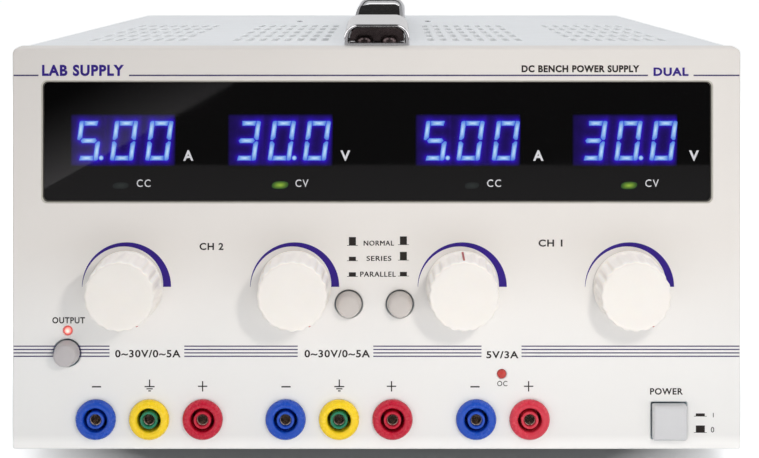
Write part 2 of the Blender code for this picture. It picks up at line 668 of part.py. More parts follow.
def fan_frame():
    fan = mesh_object("fan_frame", block(FAN_X, FAN_Z, FAN_W, FAN_W, FAN_Y0, FAN_Y1), "black",
                      smooth=30)
    y0, y1 = FAN_Y0 - 5 * MM, FAN_Y1 + 5 * MM
    holes = bmesh.new()
    add_rods(holes, [(FAN_X, FAN_Z)], FAN_BORE_R, y0, y1, 32)
    add_rods(holes, FAN_SCREWS, SCREW_R, y0, y1, 8)
    cut(fan, holes, "cut_fan")
    strut_w, strut_l = 4 * MM, 2 * (FAN_BORE_R + 0.6 * MM)
    join(fan, block(FAN_X, FAN_Z, strut_w, strut_l, FAN_Y0, FAN_Y0 + 2.5 * MM),
         "join_fan_strut_v")
    join(fan, block(FAN_X, FAN_Z, strut_l, strut_w, FAN_Y0, FAN_Y0 + 2.4 * MM),
         "join_fan_strut_h")
    join(fan, rod(FAN_X, FAN_Z, 16 * MM, FAN_Y0 + 0.1 * MM, FAN_Y0 + 2.9 * MM, 20),
         "join_fan_plate")


def fan_rotor():
    y0, y1 = FAN_Y0 + 3.4 * MM, FAN_Y1 - 1.6 * MM
    centre = (FAN_X, (y0 + y1) / 2, FAN_Z)
    rotor = mesh_object("fan_rotor", rod(FAN_X, FAN_Z, 15.5 * MM, y0, y1, 20), "black",
                        origin=centre, smooth=30)
    pitch = Matrix.Rotation(math.radians(38), 4, "Z")
    blades = bmesh.new()
    for k in range(BLADES):
        verts = add_box(blades, -9.5 * MM, 9.5 * MM, -0.7 * MM, 0.7 * MM, 13.5 * MM, 36.6 * MM)
        turn = Matrix.Rotation(2 * math.pi * k / BLADES, 4, "Y")
        bmesh.ops.transform(blades, matrix=Matrix.Translation(centre) @ turn @ pitch, verts=verts)
    join(rotor, blades, "join_fan_blades")


def guard_ring(inner_r, outer_r, y0, y1, steps):
    profile = [(inner_r, y0), (outer_r, y0), (outer_r, y1), (inner_r, y1)]
    return lathe(profile, steps, (FAN_X, 0, FAN_Z), ring=True)


def fan_guard():
    y0, y1 = BACK + GAP, BACK + GUARD_T
    guard = mesh_object("fan_guard", guard_ring(36.0 * MM, 38.0 * MM, y0 + 1.2 * MM, y1, 32),
                        "chrome", smooth=30)
    for number, radius in enumerate((11 * MM, 19.5 * MM, 28 * MM), 1):
        join(guard, guard_ring(radius - 0.8 * MM, radius + 0.8 * MM,
                               y1 - 1.6 * MM, y1 - 0.05 * MM, 24), f"join_guard_ring_{number}")
    for number, angle in enumerate((45, 135), 1):
        spoke = box(-53.5 * MM, 53.5 * MM, y0, y1 - 1.2 * MM, -1.0 * MM, 1.0 * MM)
        turn = Matrix.Rotation(math.radians(angle), 4, "Y")
        bmesh.ops.transform(spoke, matrix=Matrix.Translation((FAN_X, 0, FAN_Z)) @ turn,
                            verts=spoke.verts)
        join(guard, spoke, f"join_guard_spoke_{number}")


# ---- mains inlet with its fuse drawer ------------------------------------
RECESS_Z = INLET_Z - 8 * MM
DRAWER_Z = INLET_Z + 13 * MM
DRAWER_HOLE_W, DRAWER_HOLE_H = 24 * MM, 11 * MM
DRAWER_CLEAR = 0.4 * MM
PINS = [(-7 * MM, -1.5 * MM), (7 * MM, -1.5 * MM), (0, 2.6 * MM)]   # from the recess centre


def mains_inlet():
    inlet = mesh_object("mains_inlet", block(INLET_X, INLET_Z, INLET_W, INLET_H,
                                             BACK - 32 * MM, BACK + 1.0 * MM), "black")
    flange = rounded(INLET_X, INLET_Z, INLET_W + 5 * MM, INLET_H + 5 * MM, 3 * MM, 3)
    join(inlet, prism(flange, BACK + GAP, BACK + 2.6 * MM), "join_inlet_flange")
    half = [(12 * MM, -8.2 * MM), (12 * MM, 4 * MM), (7.8 * MM, 8.2 * MM)]
    recess = [(INLET_X + x, RECESS_Z + z) for x, z in half + mirrored(half)]
    cut(inlet, prism(recess, BACK - 15 * MM, BACK + 6 * MM), "cut_inlet_recess")
    pins = bmesh.new()
    for dx, dz in PINS:
        add_block(pins, INLET_X + dx, RECESS_Z + dz, 2 * MM, 4 * MM,
                  BACK - 16 * MM, BACK - 1.0 * MM)
    join(inlet, pins, "join_inlet_pins")
    cut(inlet, block(INLET_X, DRAWER_Z, DRAWER_HOLE_W, DRAWER_HOLE_H,
                     BACK - 26 * MM, BACK + 6 * MM), "cut_inlet_drawer")


def fuse_drawer():
    shape = block(INLET_X, DRAWER_Z, DRAWER_HOLE_W - 2 * DRAWER_CLEAR,
                  DRAWER_HOLE_H - 2 * DRAWER_CLEAR, BACK - 25.4 * MM, BACK + 2.4 * MM)
    drawer = mesh_object("fuse_drawer", shape, "black", origin=(INLET_X, BACK, DRAWER_Z))
    cut(drawer, box(INLET_X - 10 * MM, INLET_X + 10 * MM, BACK - 23 * MM, BACK - 3 * MM,
                    DRAWER_Z - 3.5 * MM, DRAWER_Z + 8.5 * MM), "cut_drawer_tray")


# ---- build ---------------------------------------------------------------
front_bezel()
display_window()
chassis_base()
top_cover()
rear_panel()
feet()
handle_end("front")
handle_end("rear")
strap_grip()
for number, x in enumerate(KNOB_X, 1):
    knob(number, x)
    potentiometer(number, x)
for button in BUTTONS:
    round_button(*button)
power_button()
for entry in SOCKETS:
    socket(*entry)
for lamp in LEDS:
    led(*lamp)
displays()
transformer()
main_board()
capacitors()
heat_sink()
fan_frame()
fan_rotor()
fan_guard()
mains_inlet()
fuse_drawer()
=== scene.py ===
import math

import bmesh
import bpy
import numpy as np
from mathutils import Matrix, Vector


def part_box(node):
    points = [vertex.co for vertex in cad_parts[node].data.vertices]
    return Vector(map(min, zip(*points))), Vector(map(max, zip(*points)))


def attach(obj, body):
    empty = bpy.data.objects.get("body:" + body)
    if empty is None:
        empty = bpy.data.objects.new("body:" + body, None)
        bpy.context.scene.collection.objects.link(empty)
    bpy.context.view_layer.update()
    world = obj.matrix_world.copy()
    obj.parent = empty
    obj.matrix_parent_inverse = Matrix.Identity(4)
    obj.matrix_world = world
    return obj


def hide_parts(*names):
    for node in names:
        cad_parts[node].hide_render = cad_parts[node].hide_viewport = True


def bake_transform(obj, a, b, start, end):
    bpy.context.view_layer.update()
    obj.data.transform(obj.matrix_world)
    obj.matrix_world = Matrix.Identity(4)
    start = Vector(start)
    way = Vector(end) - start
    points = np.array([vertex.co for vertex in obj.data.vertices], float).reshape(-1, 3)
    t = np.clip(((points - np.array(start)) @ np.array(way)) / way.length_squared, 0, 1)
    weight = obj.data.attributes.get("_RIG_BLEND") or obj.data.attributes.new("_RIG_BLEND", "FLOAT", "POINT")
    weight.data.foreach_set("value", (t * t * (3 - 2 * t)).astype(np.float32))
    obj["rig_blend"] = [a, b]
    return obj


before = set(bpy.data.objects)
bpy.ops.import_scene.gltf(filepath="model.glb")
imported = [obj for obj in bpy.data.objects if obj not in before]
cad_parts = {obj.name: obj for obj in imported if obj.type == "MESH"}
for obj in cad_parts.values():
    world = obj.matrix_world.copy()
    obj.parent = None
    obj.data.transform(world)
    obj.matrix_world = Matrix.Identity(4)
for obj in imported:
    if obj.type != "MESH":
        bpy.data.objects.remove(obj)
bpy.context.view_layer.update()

MM = 0.001
LO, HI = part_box("front_bezel")
YF, ZB, ZT, XW = LO.y, LO.z, HI.z, HI.x
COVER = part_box("top_cover")
COVER_TOP, YB = COVER[1].z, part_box("rear_panel")[1].y
CAM_X, CAM_Z, CAM_D = 5.89 * MM, ZB + 176.8 * MM, 591 * MM


def mid(node):
    a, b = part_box(node)
    return (a + b) / 2


def P(x_mm, z_mm, y=0.0):
    """A point of the front panel: millimetres from its middle and from the bezel's lower edge."""
    return Vector((x_mm * MM, YF + y, ZB + z_mm * MM))


# ---------------------------------------------------------------- materials
def node(nt, kind, ins=None, **props):
    n = nt.nodes.new(kind)
    for k, v in props.items():
        setattr(n, k, v)
    for k, v in (ins or {}).items():
        s = n.inputs[k]
        if isinstance(v, bpy.types.NodeSocket):
            nt.links.new(v, s)
        else:
            s.default_value = v
    return n


def blank(name):
    m = bpy.data.materials.new(name)
    m.use_nodes = True
    m.node_tree.nodes.clear()
    return m, m.node_tree


def lin(r, g, b):
    """sRGB 0-255 to linear."""
    f = lambda c: (c / 255 / 12.92) if c <= 10.3 else ((c / 255 + 0.055) / 1.055) ** 2.4
    return (f(r), f(g), f(b), 1.0)


def mixc(nt, fac, a, b, blend="MIX"):
    n = nt.nodes.new("ShaderNodeMix")
    n.data_type = "RGBA"
    n.blend_type = blend
    for s, v in ((n.inputs[0], fac), (n.inputs[6], a), (n.inputs[7], b)):
        if isinstance(v, bpy.types.NodeSocket):
            nt.links.new(v, s)
        else:
            s.default_value = v
    return n.outputs[2]


def ramp(nt, value, a, b, lo=0.0, hi=1.0):
    n = node(nt, "ShaderNodeMapRange", {0: value, 1: a, 2: b, 3: lo, 4: hi}, clamp=True)
    return n.outputs[0]


def surface(name, base, rough, metal=0.0, spec=0.5, coat=0.0, grain=900, grain_h=0.00002, kind="noise",
            blotch=25, blotch_amt=0.04, rough_var=0.08, edge=0.0, edge_col=None, edge_r=0.0006, dust=0.0,
            scratch=0.0, sss=0.0, sheen=0.0, stretch=(1, 1, 1), coat_rough=0.1, emit=None, aniso=0.0):
    m, nt = blank(name)
    tc = node(nt, "ShaderNodeTexCoord").outputs["Object"]
    mp = node(nt, "ShaderNodeMapping", {"Vector": tc, "Scale": stretch}).outputs[0]
    if kind == "noise":
        g = node(nt, "ShaderNodeTexNoise", {"Vector": mp, "Scale": grain, "Detail": 3.0, "Roughness": 0.6}).outputs[0]
    elif kind == "peel":
        g1 = node(nt, "ShaderNodeTexNoise", {"Vector": mp, "Scale": grain, "Detail": 2.0, "Roughness": 0.4}).outputs[0]
        g2 = node(nt, "ShaderNodeTexVoronoi", {"Vector": mp, "Scale": grain * 1.7}, feature="SMOOTH_F1").outputs[0]
        g = node(nt, "ShaderNodeMath", {0: g1, 1: g2}, operation="ADD").outputs[0]
    elif kind == "leather":
        g = node(nt, "ShaderNodeTexVoronoi", {"Vector": mp, "Scale": grain}, feature="DISTANCE_TO_EDGE").outputs[0]
        g = ramp(nt, g, 0.0, 0.25)
    else:
        g = node(nt, "ShaderNodeTexNoise", {"Vector": mp, "Scale": grain, "Detail": 5.0, "Roughness": 0.7}).outputs[0]
    big = node(nt, "ShaderNodeTexNoise", {"Vector": tc, "Scale": blotch, "Detail": 4.0, "Roughness": 0.55}).outputs[0]
    fine = node(nt, "ShaderNodeTexNoise", {"Vector": tc, "Scale": blotch * 9, "Detail": 3.0}).outputs[0]
    b = lin(*base)
    dark = tuple(c * (1 - blotch_amt) for c in b[:3]) + (1.0,)
    light = tuple(min(1.0, c * (1 + blotch_amt)) for c in b[:3]) + (1.0,)
    col = mixc(nt, ramp(nt, big, 0.3, 0.7), dark, light)
    rr = node(nt, "ShaderNodeMath", {0: ramp(nt, fine, 0.3, 0.7, -1, 1), 1: rough_var * 0.6}, operation="MULTIPLY").outputs[0]
    rr2 = node(nt, "ShaderNodeMath", {0: ramp(nt, big, 0.3, 0.7, -1, 1), 1: rough_var * 0.5}, operation="MULTIPLY").outputs[0]
    r = node(nt, "ShaderNodeMath", {0: rr, 1: rr2}, operation="ADD").outputs[0]
    r = node(nt, "ShaderNodeMath", {0: r, 1: rough}, operation="ADD", use_clamp=True).outputs[0]
    normal_in = None
    if edge > 0:
        bv = node(nt, "ShaderNodeBevel", {"Radius": edge_r}, samples=4).outputs[0]
        gn = node(nt, "ShaderNodeNewGeometry").outputs["Normal"]
        d = node(nt, "ShaderNodeVectorMath", {0: bv, 1: gn}, operation="DOT_PRODUCT").outputs["Value"]
        e = ramp(nt, d, 0.995, 0.80)
        w = node(nt, "ShaderNodeTexNoise", {"Vector": tc, "Scale": 350.0, "Detail": 4.0}).outputs[0]
        e = node(nt, "ShaderNodeMath", {0: e, 1: ramp(nt, w, 0.42, 0.62)}, operation="MULTIPLY").outputs[0]
        e = node(nt, "ShaderNodeMath", {0: e, 1: edge}, operation="MULTIPLY").outputs[0]
        ec = lin(*edge_col) if edge_col else light
        col = mixc(nt, e, col, ec)
        normal_in = bv
    if dust > 0:
        up = node(nt, "ShaderNodeSeparateXYZ", {0: node(nt, "ShaderNodeNewGeometry").outputs["Normal"]}).outputs[2]
        dn = node(nt, "ShaderNodeMath", {0: ramp(nt, up, 0.3, 1.0), 1: ramp(nt, fine, 0.35, 0.75)}, operation="MULTIPLY").outputs[0]
        dn = node(nt, "ShaderNodeMath", {0: dn, 1: dust}, operation="MULTIPLY").outputs[0]
        col = mixc(nt, dn, col, lin(196, 190, 180))
    hgt = g
    if scratch > 0:
        sm = node(nt, "ShaderNodeMapping", {"Vector": tc, "Scale": (40, 40, 900), "Rotation": (0.3, 0.5, 0.2)}).outputs[0]
        sc = node(nt, "ShaderNodeTexNoise", {"Vector": sm, "Scale": 1.0, "Detail": 2.0}).outputs[0]
        sc = ramp(nt, sc, 0.66, 0.72)
        sc = node(nt, "ShaderNodeMath", {0: sc, 1: scratch}, operation="MULTIPLY").outputs[0]
        hgt = node(nt, "ShaderNodeMath", {0: g, 1: sc}, operation="SUBTRACT").outputs[0]
    ins = {"Height": hgt, "Distance": grain_h, "Strength": 1.0}
    if normal_in is not None:
        ins["Normal"] = normal_in
    bump = node(nt, "ShaderNodeBump", ins).outputs[0]
    pr = {"Base Color": col, "Roughness": r, "Metallic": metal, "Specular IOR Level": spec, "Normal": bump,
          "Coat Weight": coat, "Coat Roughness": coat_rough, "Sheen Weight": sheen}
    if aniso:
        pr["Anisotropic"] = aniso
    if sss > 0:
        pr["Subsurface Weight"] = sss
        pr["Subsurface Radius"] = (0.002, 0.0015, 0.001)
        pr["Subsurface Scale"] = 0.5
    p = node(nt, "ShaderNodeBsdfPrincipled", pr)
    if emit:
        p.inputs["Emission Color"].default_value = lin(*emit[0])
        p.inputs["Emission Strength"].default_value = emit[1]
    node(nt, "ShaderNodeOutputMaterial", {"Surface": p.outputs[0]})
    m.diffuse_color = b
    return m


M = {}
M["bezel"] = surface("bezel_mat", (236, 231, 226), 0.42, spec=0.45, grain=2600, grain_h=0.000012, blotch=14, blotch_amt=0.012,
                     rough_var=0.07, edge=0.35, edge_col=(247, 244, 240), edge_r=0.0005, scratch=0.25)
# painted shade: the window rim is a darker copy of the bezel plastic for the shade in the opening, and rim_dark a still
# darker copy for its deeper part
M["rim"] = surface("window_rim_painted_shade_mat", (200, 196, 186), 0.38, spec=0.5, grain=2200, grain_h=0.000012, blotch=30, blotch_amt=0.05, rough_var=0.08)
M["rim_dark"] = surface("window_rim_painted_deep_shade_mat", (74, 70, 64), 0.4, spec=0.5, grain=2200, grain_h=0.000012, blotch=30, blotch_amt=0.08, rough_var=0.08)
M["cover"] = surface("cover_mat", (244, 246, 248), 0.5, spec=0.45, grain=1500, grain_h=0.00004, kind="peel", blotch=12,
                     blotch_amt=0.015, rough_var=0.08, edge=0.5, edge_col=(238, 240, 242), edge_r=0.0006, dust=0.06)
# painted light: the walls of the cover's slots glow faintly, standing in for light falling on them
M["slot_wall"] = surface("slot_wall_painted_light_mat", (222, 224, 226), 0.55, spec=0.3, grain=1500, grain_h=0.00003, kind="peel", blotch=12, blotch_amt=0.02,
                         rough_var=0.08, emit=((222, 224, 226), 0.30))
M["steel"] = surface("zinc_mat", (168, 171, 174), 0.36, metal=0.9, grain=700, grain_h=0.00001, kind="fibre", blotch=60, blotch_amt=0.14,
                     rough_var=0.16, edge=0.6, edge_col=(215, 216, 218), stretch=(1, 1, 0.15), scratch=0.5)
M["rear"] = surface("rear_mat", (214, 216, 218), 0.5, spec=0.4, grain=1500, grain_h=0.00004, kind="peel", blotch=14,
                    blotch_amt=0.03, rough_var=0.1, edge=0.5, edge_col=(236, 236, 238))
M["rubber"] = surface("rubber_mat", (34, 34, 35), 0.78, spec=0.3, grain=1300, grain_h=0.00006, blotch=60, blotch_amt=0.25,
                      rough_var=0.12, dust=0.25)
M["chrome"] = surface("chrome_mat", (226, 224, 226), 0.075, metal=1.0, grain=500, grain_h=0.0000035, blotch=50, blotch_amt=0.04,
                      rough_var=0.05, edge=0.3, edge_col=(240, 238, 236), edge_r=0.0004, scratch=0.35)
# satin cut edge of the cap metal, with a faint painted glow that brightens it
M["sheared"] = surface("cap_edge_satin_glow_mat", (232, 232, 234), 0.5, metal=0.2, grain=900, grain_h=0.00001, blotch=120, blotch_amt=0.05, rough_var=0.1,
                       emit=((232, 232, 234), 0.12))
# painted shade: a darkened copy of the chrome for the parts inside the handle caps
M["chrome_dark"] = surface("chrome_recess_painted_shade_mat", (96, 84, 84), 0.22, metal=0.9, grain=600, grain_h=0.00002, blotch=80, blotch_amt=0.3,
                           rough_var=0.12)
M["strap"] = surface("strap_mat", (12, 10, 11), 0.8, spec=0.06, grain=900, grain_h=0.00016, kind="leather", blotch=70,
                     blotch_amt=0.3, rough_var=0.14, edge=0.2, edge_col=(60, 58, 58))
# painted highlight: the welts along the strap edges are coloured a lighter grey for the sheen on them
M["piping"] = surface("strap_edge_painted_highlight_mat", (120, 119, 122), 0.4, spec=0.5, grain=900, grain_h=0.00005, blotch=70, blotch_amt=0.2, rough_var=0.1)
M["knob"] = surface("knob_mat", (241, 236, 230), 0.36, spec=0.5, grain=2400, grain_h=0.000012, blotch=90, blotch_amt=0.012,
                    rough_var=0.08, edge=0.3, edge_col=(250, 247, 242), edge_r=0.0004, sss=0.08)

def lift(m, colour, strength, value):
    """Adds a faint glow where value is high, for light thrown back by the surroundings."""
    nt = m.node_tree
    p = next(n for n in nt.nodes if n.type == "BSDF_PRINCIPLED")
    p.inputs["Emission Color"].default_value = lin(*colour)
    nt.links.new(value(nt, strength), p.inputs["Emission Strength"])


def facing_up(nt, strength):
    up = node(nt, "ShaderNodeSeparateXYZ", {0: node(nt, "ShaderNodeNewGeometry").outputs["Normal"]}).outputs[2]
    return ramp(nt, up, 0.15, 0.75, 0.0, strength)


def floor_light(m):
    """Painted light on the lower part of the panel: a cooler glow for light off the white floor, and a painted
    highlight along the lower edge.
    """
    nt = m.node_tree
    p = next(n for n in nt.nodes if n.type == "BSDF_PRINCIPLED")
    z = node(nt, "ShaderNodeSeparateXYZ", {0: node(nt, "ShaderNodeNewGeometry").outputs["Position"]}).outputs[2]
    edge = node(nt, "ShaderNodeVectorMath", {0: (0.90, 0.88, 0.85), "Scale": ramp(nt, z, 0.0172, 0.0142, 0.0, 0.12)}, operation="SCALE").outputs[0]
    low = node(nt, "ShaderNodeVectorMath", {0: (0.004, 0.032, 0.052), "Scale": ramp(nt, z, 0.085, 0.045)}, operation="SCALE").outputs[0]
    both = node(nt, "ShaderNodeVectorMath", {0: edge, 1: low}, operation="ADD").outputs[0]
    nt.links.new(both, p.inputs["Emission Color"])
    p.inputs["Emission Strength"].default_value = 1.0


# painted light: the knobs' upward-facing sides glow faintly, standing in for light from above
lift(M["knob"], (240, 234, 228), 0.24, facing_up)
floor_light(M["bezel"])
M["pointer"] = surface("pointer_mat", (186, 64, 66), 0.4, grain=2000, grain_h=0.00001, blotch_amt=0.1)
M["button"] = surface("button_mat", (201, 194, 189), 0.4, spec=0.5, grain=2200, grain_h=0.000015, blotch=120, blotch_amt=0.03,
                      rough_var=0.08, edge=0.4, edge_col=(222, 216, 211), edge_r=0.0003)
M["button2"] = surface("button_grey_mat", (186, 181, 182), 0.4, spec=0.5, grain=2200, grain_h=0.000015, blotch=120, blotch_amt=0.03,
                       rough_var=0.08, edge=0.4, edge_col=(210, 206, 206), edge_r=0.0003)
M["power"] = surface("power_mat", (208, 208, 210), 0.36, spec=0.5, grain=2200, grain_h=0.000015, blotch=120, blotch_amt=0.02,
                     rough_var=0.08, edge=0.4, edge_col=(230, 230, 232), edge_r=0.0003)
M["black"] = surface("black_plastic_mat", (24, 24, 26), 0.42, spec=0.45, grain=1800, grain_h=0.00003, blotch=60, blotch_amt=0.2,
                     rough_var=0.12, edge=0.35, edge_col=(60, 60, 62))
for key, colr in (("blue", (22, 78, 190)), ("yellow", (255, 215, 28)), ("red", (196, 20, 52)), ("red2", (214, 52, 72)), ("green", (26, 128, 92))):
    M[key] = surface(key + "_socket_mat", colr, 0.26, spec=0.5, grain=1500, grain_h=0.000004, blotch=90, blotch_amt=0.025,
                     rough_var=0.06, edge=0.18, edge_col=tuple(min(255, int(c * 0.8 + 50)) for c in colr), edge_r=0.0003, sss=0.1)
M["nickel"] = surface("contact_mat", (176, 160, 148), 0.22, metal=1.0, grain=900, grain_h=0.00001, blotch=200, blotch_amt=0.15, rough_var=0.15)
M["brass"] = surface("brass_mat", (205, 170, 96), 0.25, metal=1.0, grain=900, grain_h=0.00001, blotch=200, blotch_amt=0.12, rough_var=0.12)
M["screw"] = surface("screw_mat", (186, 187, 190), 0.26, metal=1.0, grain=900, grain_h=0.00001, blotch=260, blotch_amt=0.12, rough_var=0.15,
                     edge=0.4, edge_col=(226, 226, 228), edge_r=0.0002)
M["screw_black"] = surface("screw_black_mat", (44, 43, 44), 0.34, metal=0.8, grain=900, grain_h=0.00001, blotch=260, blotch_amt=0.2,
                           rough_var=0.15, edge=0.6, edge_col=(110, 108, 106), edge_r=0.0002)
M["pcb"] = surface("board_mat", (22, 88, 46), 0.3, spec=0.5, grain=600, grain_h=0.00002, blotch=160, blotch_amt=0.15, rough_var=0.1)
M["alu"] = surface("alu_mat", (182, 184, 187), 0.34, metal=0.95, grain=800, grain_h=0.00001, kind="fibre", stretch=(1, 0.08, 1), blotch=60,
                   blotch_amt=0.08, rough_var=0.14, edge=0.4, edge_col=(220, 221, 224))
M["core"] = surface("core_mat", (96, 92, 90), 0.5, metal=0.7, grain=2200, grain_h=0.00008, kind="fibre", stretch=(0.03, 1, 0.03), blotch=40,
                    blotch_amt=0.2, rough_var=0.15)
M["coil"] = surface("coil_mat", (214, 166, 62), 0.42, spec=0.5, grain=1200, grain_h=0.00006, kind="fibre", stretch=(0.05, 0.05, 1), blotch=60,
                    blotch_amt=0.12, rough_var=0.12)
M["sleeve"] = surface("capacitor_mat", (30, 36, 82), 0.3, spec=0.5, grain=900, grain_h=0.00002, blotch=60, blotch_amt=0.1, rough_var=0.1)
M["ink"] = surface("ink_dark_mat", (44, 38, 36), 0.6, spec=0.2, grain=3000, grain_h=0.000004, blotch=300, blotch_amt=0.15, rough_var=0.05)
M["line"] = surface("ink_line_mat", (70, 60, 104), 0.5, spec=0.25, grain=3000, grain_h=0.000004, blotch=300, blotch_amt=0.1, rough_var=0.05)
M["violet"] = surface("ink_violet_mat", (50, 24, 134), 0.5, spec=0.25, grain=3000, grain_h=0.000004, blotch=300, blotch_amt=0.1, rough_var=0.05)
M["white"] = surface("ink_white_mat", (214, 214, 218), 0.5, grain=3000, grain_h=0.000004, blotch=300, blotch_amt=0.04, rough_var=0.05)


def window_material():
    m, nt = blank("window_mat")
    tc = node(nt, "ShaderNodeTexCoord").outputs["Object"]
    n1 = node(nt, "ShaderNodeTexNoise", {"Vector": tc, "Scale": 30.0, "Detail": 3.0}).outputs[0]
    n2 = node(nt, "ShaderNodeTexNoise", {"Vector": tc, "Scale": 500.0, "Detail": 3.0}).outputs[0]
    r = node(nt, "ShaderNodeMath", {0: ramp(nt, n1, 0.35, 0.7, 0.0, 0.02), 1: ramp(nt, n2, 0.5, 0.8, 0.012, 0.03)}, operation="ADD").outputs[0]
    bump = node(nt, "ShaderNodeBump", {"Height": n1, "Distance": 0.00001, "Strength": 0.3}).outputs[0]
    fr = node(nt, "ShaderNodeFresnel", {"IOR": 1.49, "Normal": bump}).outputs[0]
    outer = node(nt, "ShaderNodeMath", {0: 1.0, 1: node(nt, "ShaderNodeNewGeometry").outputs["Backfacing"]}, operation="SUBTRACT").outputs[0]
    fr = node(nt, "ShaderNodeMath", {0: fr, 1: outer}, operation="MULTIPLY").outputs[0]
    tr = node(nt, "ShaderNodeBsdfTransparent", {"Color": (0.29, 0.29, 0.29, 1)})
    gl = node(nt, "ShaderNodeBsdfGlossy", {"Color": (1, 1, 1, 1), "Roughness": r, "Normal": bump})
    mx = node(nt, "ShaderNodeMixShader", {0: fr, 1: tr.outputs[0], 2: gl.outputs[0]})
    node(nt, "ShaderNodeOutputMaterial", {"Surface": mx.outputs[0]})
    return m


M["window"] = window_material()


def lit(name, edge, core, strength, attr=None):
    m, nt = blank(name)
    if attr:
        a = node(nt, "ShaderNodeAttribute", attribute_name=attr).outputs["Fac"]
        a = node(nt, "ShaderNodeMath", {0: a, 1: 1.4}, operation="POWER").outputs[0]
        c = mixc(nt, a, edge, core)
    else:
        c = core
    tc = node(nt, "ShaderNodeTexCoord").outputs["Object"]
    n = node(nt, "ShaderNodeTexNoise", {"Vector": tc, "Scale": 900.0, "Detail": 2.0}).outputs[0]
    st = ramp(nt, n, 0.3, 0.7, strength * 0.9, strength * 1.05)
    e = node(nt, "ShaderNodeEmission", {"Color": c, "Strength": st})
    node(nt, "ShaderNodeOutputMaterial", {"Surface": e.outputs[0]})
    return m


TINT = 0.29 ** 2 * 0.96                             # seen through both faces of the window
M["segment"] = lit("segment_mat", lin(84, 132, 224), lin(196, 230, 254), 1.0 / TINT, "hot")
M["green_led"] = lit("green_led_mat", lin(34, 74, 26), lin(150, 190, 60), 1.0 / TINT, "hot")
# painted light: the unlit mode lamps are drawn as a faint glow, brightest in the middle
M["dim_led"] = lit("dim_led_mat", lin(22, 26, 26), lin(40, 46, 44), 1.0 / TINT, "hot")


def glow_material():
    m, nt = blank("module_face_mat")
    a = node(nt, "ShaderNodeAttribute", attribute_name="glow").outputs["Fac"]
    b = node(nt, "ShaderNodeAttribute", attribute_name="field").outputs["Fac"]
    tc = node(nt, "ShaderNodeTexCoord").outputs["Object"]
    n = node(nt, "ShaderNodeTexNoise", {"Vector": tc, "Scale": 400.0, "Detail": 2.0}).outputs[0]
    bb = node(nt, "ShaderNodeMath", {0: b, 1: ramp(nt, n, 0.3, 0.7, 0.85, 1.1)}, operation="MULTIPLY").outputs[0]
    e1 = node(nt, "ShaderNodeEmission", {"Color": lin(44, 14, 214), "Strength": node(nt, "ShaderNodeMath", {0: a, 1: 0.7 / TINT}, operation="MULTIPLY").outputs[0]})
    e2 = node(nt, "ShaderNodeEmission", {"Color": lin(36, 14, 112), "Strength": node(nt, "ShaderNodeMath", {0: bb, 1: 0.75 / TINT}, operation="MULTIPLY").outputs[0]})
    p = node(nt, "ShaderNodeBsdfPrincipled", {"Base Color": lin(30, 28, 40), "Roughness": 0.5})
    s1 = node(nt, "ShaderNodeAddShader", {0: e1.outputs[0], 1: e2.outputs[0]})
    s2 = node(nt, "ShaderNodeAddShader", {0: s1.outputs[0], 1: p.outputs[0]})
    node(nt, "ShaderNodeOutputMaterial", {"Surface": s2.outputs[0]})
    return m


M["module"] = glow_material()


def lamp_material():
    m, nt = blank("led_on_mat")
    tc = node(nt, "ShaderNodeTexCoord").outputs["Object"]
    n = node(nt, "ShaderNodeTexNoise", {"Vector": tc, "Scale": 700.0, "Detail": 2.0}).outputs[0]
    a = node(nt, "ShaderNodeAttribute", attribute_name="hot").outputs["Fac"]
    a = node(nt, "ShaderNodeMath", {0: a, 1: ramp(nt, n, 0.3, 0.7, 0.9, 1.1)}, operation="MULTIPLY", use_clamp=True).outputs[0]
    col = mixc(nt, a, lin(236, 96, 84), lin(255, 236, 224))
    bump = node(nt, "ShaderNodeBump", {"Height": n, "Distance": 0.000006}).outputs[0]
    p = node(nt, "ShaderNodeBsdfPrincipled", {"Base Color": lin(190, 60, 56), "Roughness": ramp(nt, n, 0.3, 0.7, 0.14, 0.24), "Normal": bump, "Emission Color": col,
                                              "Emission Strength": ramp(nt, a, 0.0, 1.0, 0.42, 1.1)})
    node(nt, "ShaderNodeOutputMaterial", {"Surface": p.outputs[0]})
    return m


M["led_on"] = lamp_material()
# painted light: the unlit overcurrent lamp still glows faintly red
M["led_off"] = surface("led_off_mat", (186, 60, 52), 0.2, spec=0.6, grain=900, grain_h=0.000004, blotch=300, blotch_amt=0.1,
                       rough_var=0.06, sss=0.2, emit=((190, 50, 40), 0.12))


# ---------------------------------------------------------------- geometry helpers
def add(name, bm, mat, body="case", replaces=(), smooth=35, weighted=False, bevel=None, recalc=True, ride=True):
    if recalc:
        bmesh.ops.recalc_face_normals(bm, faces=bm.faces)
    me = bpy.data.meshes.new(name)
    bm.to_mesh(me)
    bm.free()
    ob = bpy.data.objects.new(name, me)
    bpy.context.scene.collection.objects.link(ob)
    for mt in mat if isinstance(mat, (list, tuple)) else [mat]:
        me.materials.append(mt)
    if smooth is not None:
        me.shade_smooth()
        me.set_sharp_from_angle(angle=math.radians(smooth))
    if bevel:
        b = ob.modifiers.new("edge", "BEVEL")
        b.width, b.segments = bevel
        b.limit_method = "ANGLE"
        b.angle_limit = math.radians(40)
        b.harden_normals = False
        b.use_clamp_overlap = True
    if weighted or bevel:
        w = ob.modifiers.new("normals", "WEIGHTED_NORMAL")
        w.keep_sharp = True
        w.weight = 60
    if ride:
        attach(ob, body)
    if replaces:
        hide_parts(*replaces)
    return ob


def merge(*bms):
    out = bmesh.new()
    for b in bms:
        me = bpy.data.meshes.new("tmp")
        b.to_mesh(me)
        b.free()
        out.from_mesh(me)
        bpy.data.meshes.remove(me)
    return out


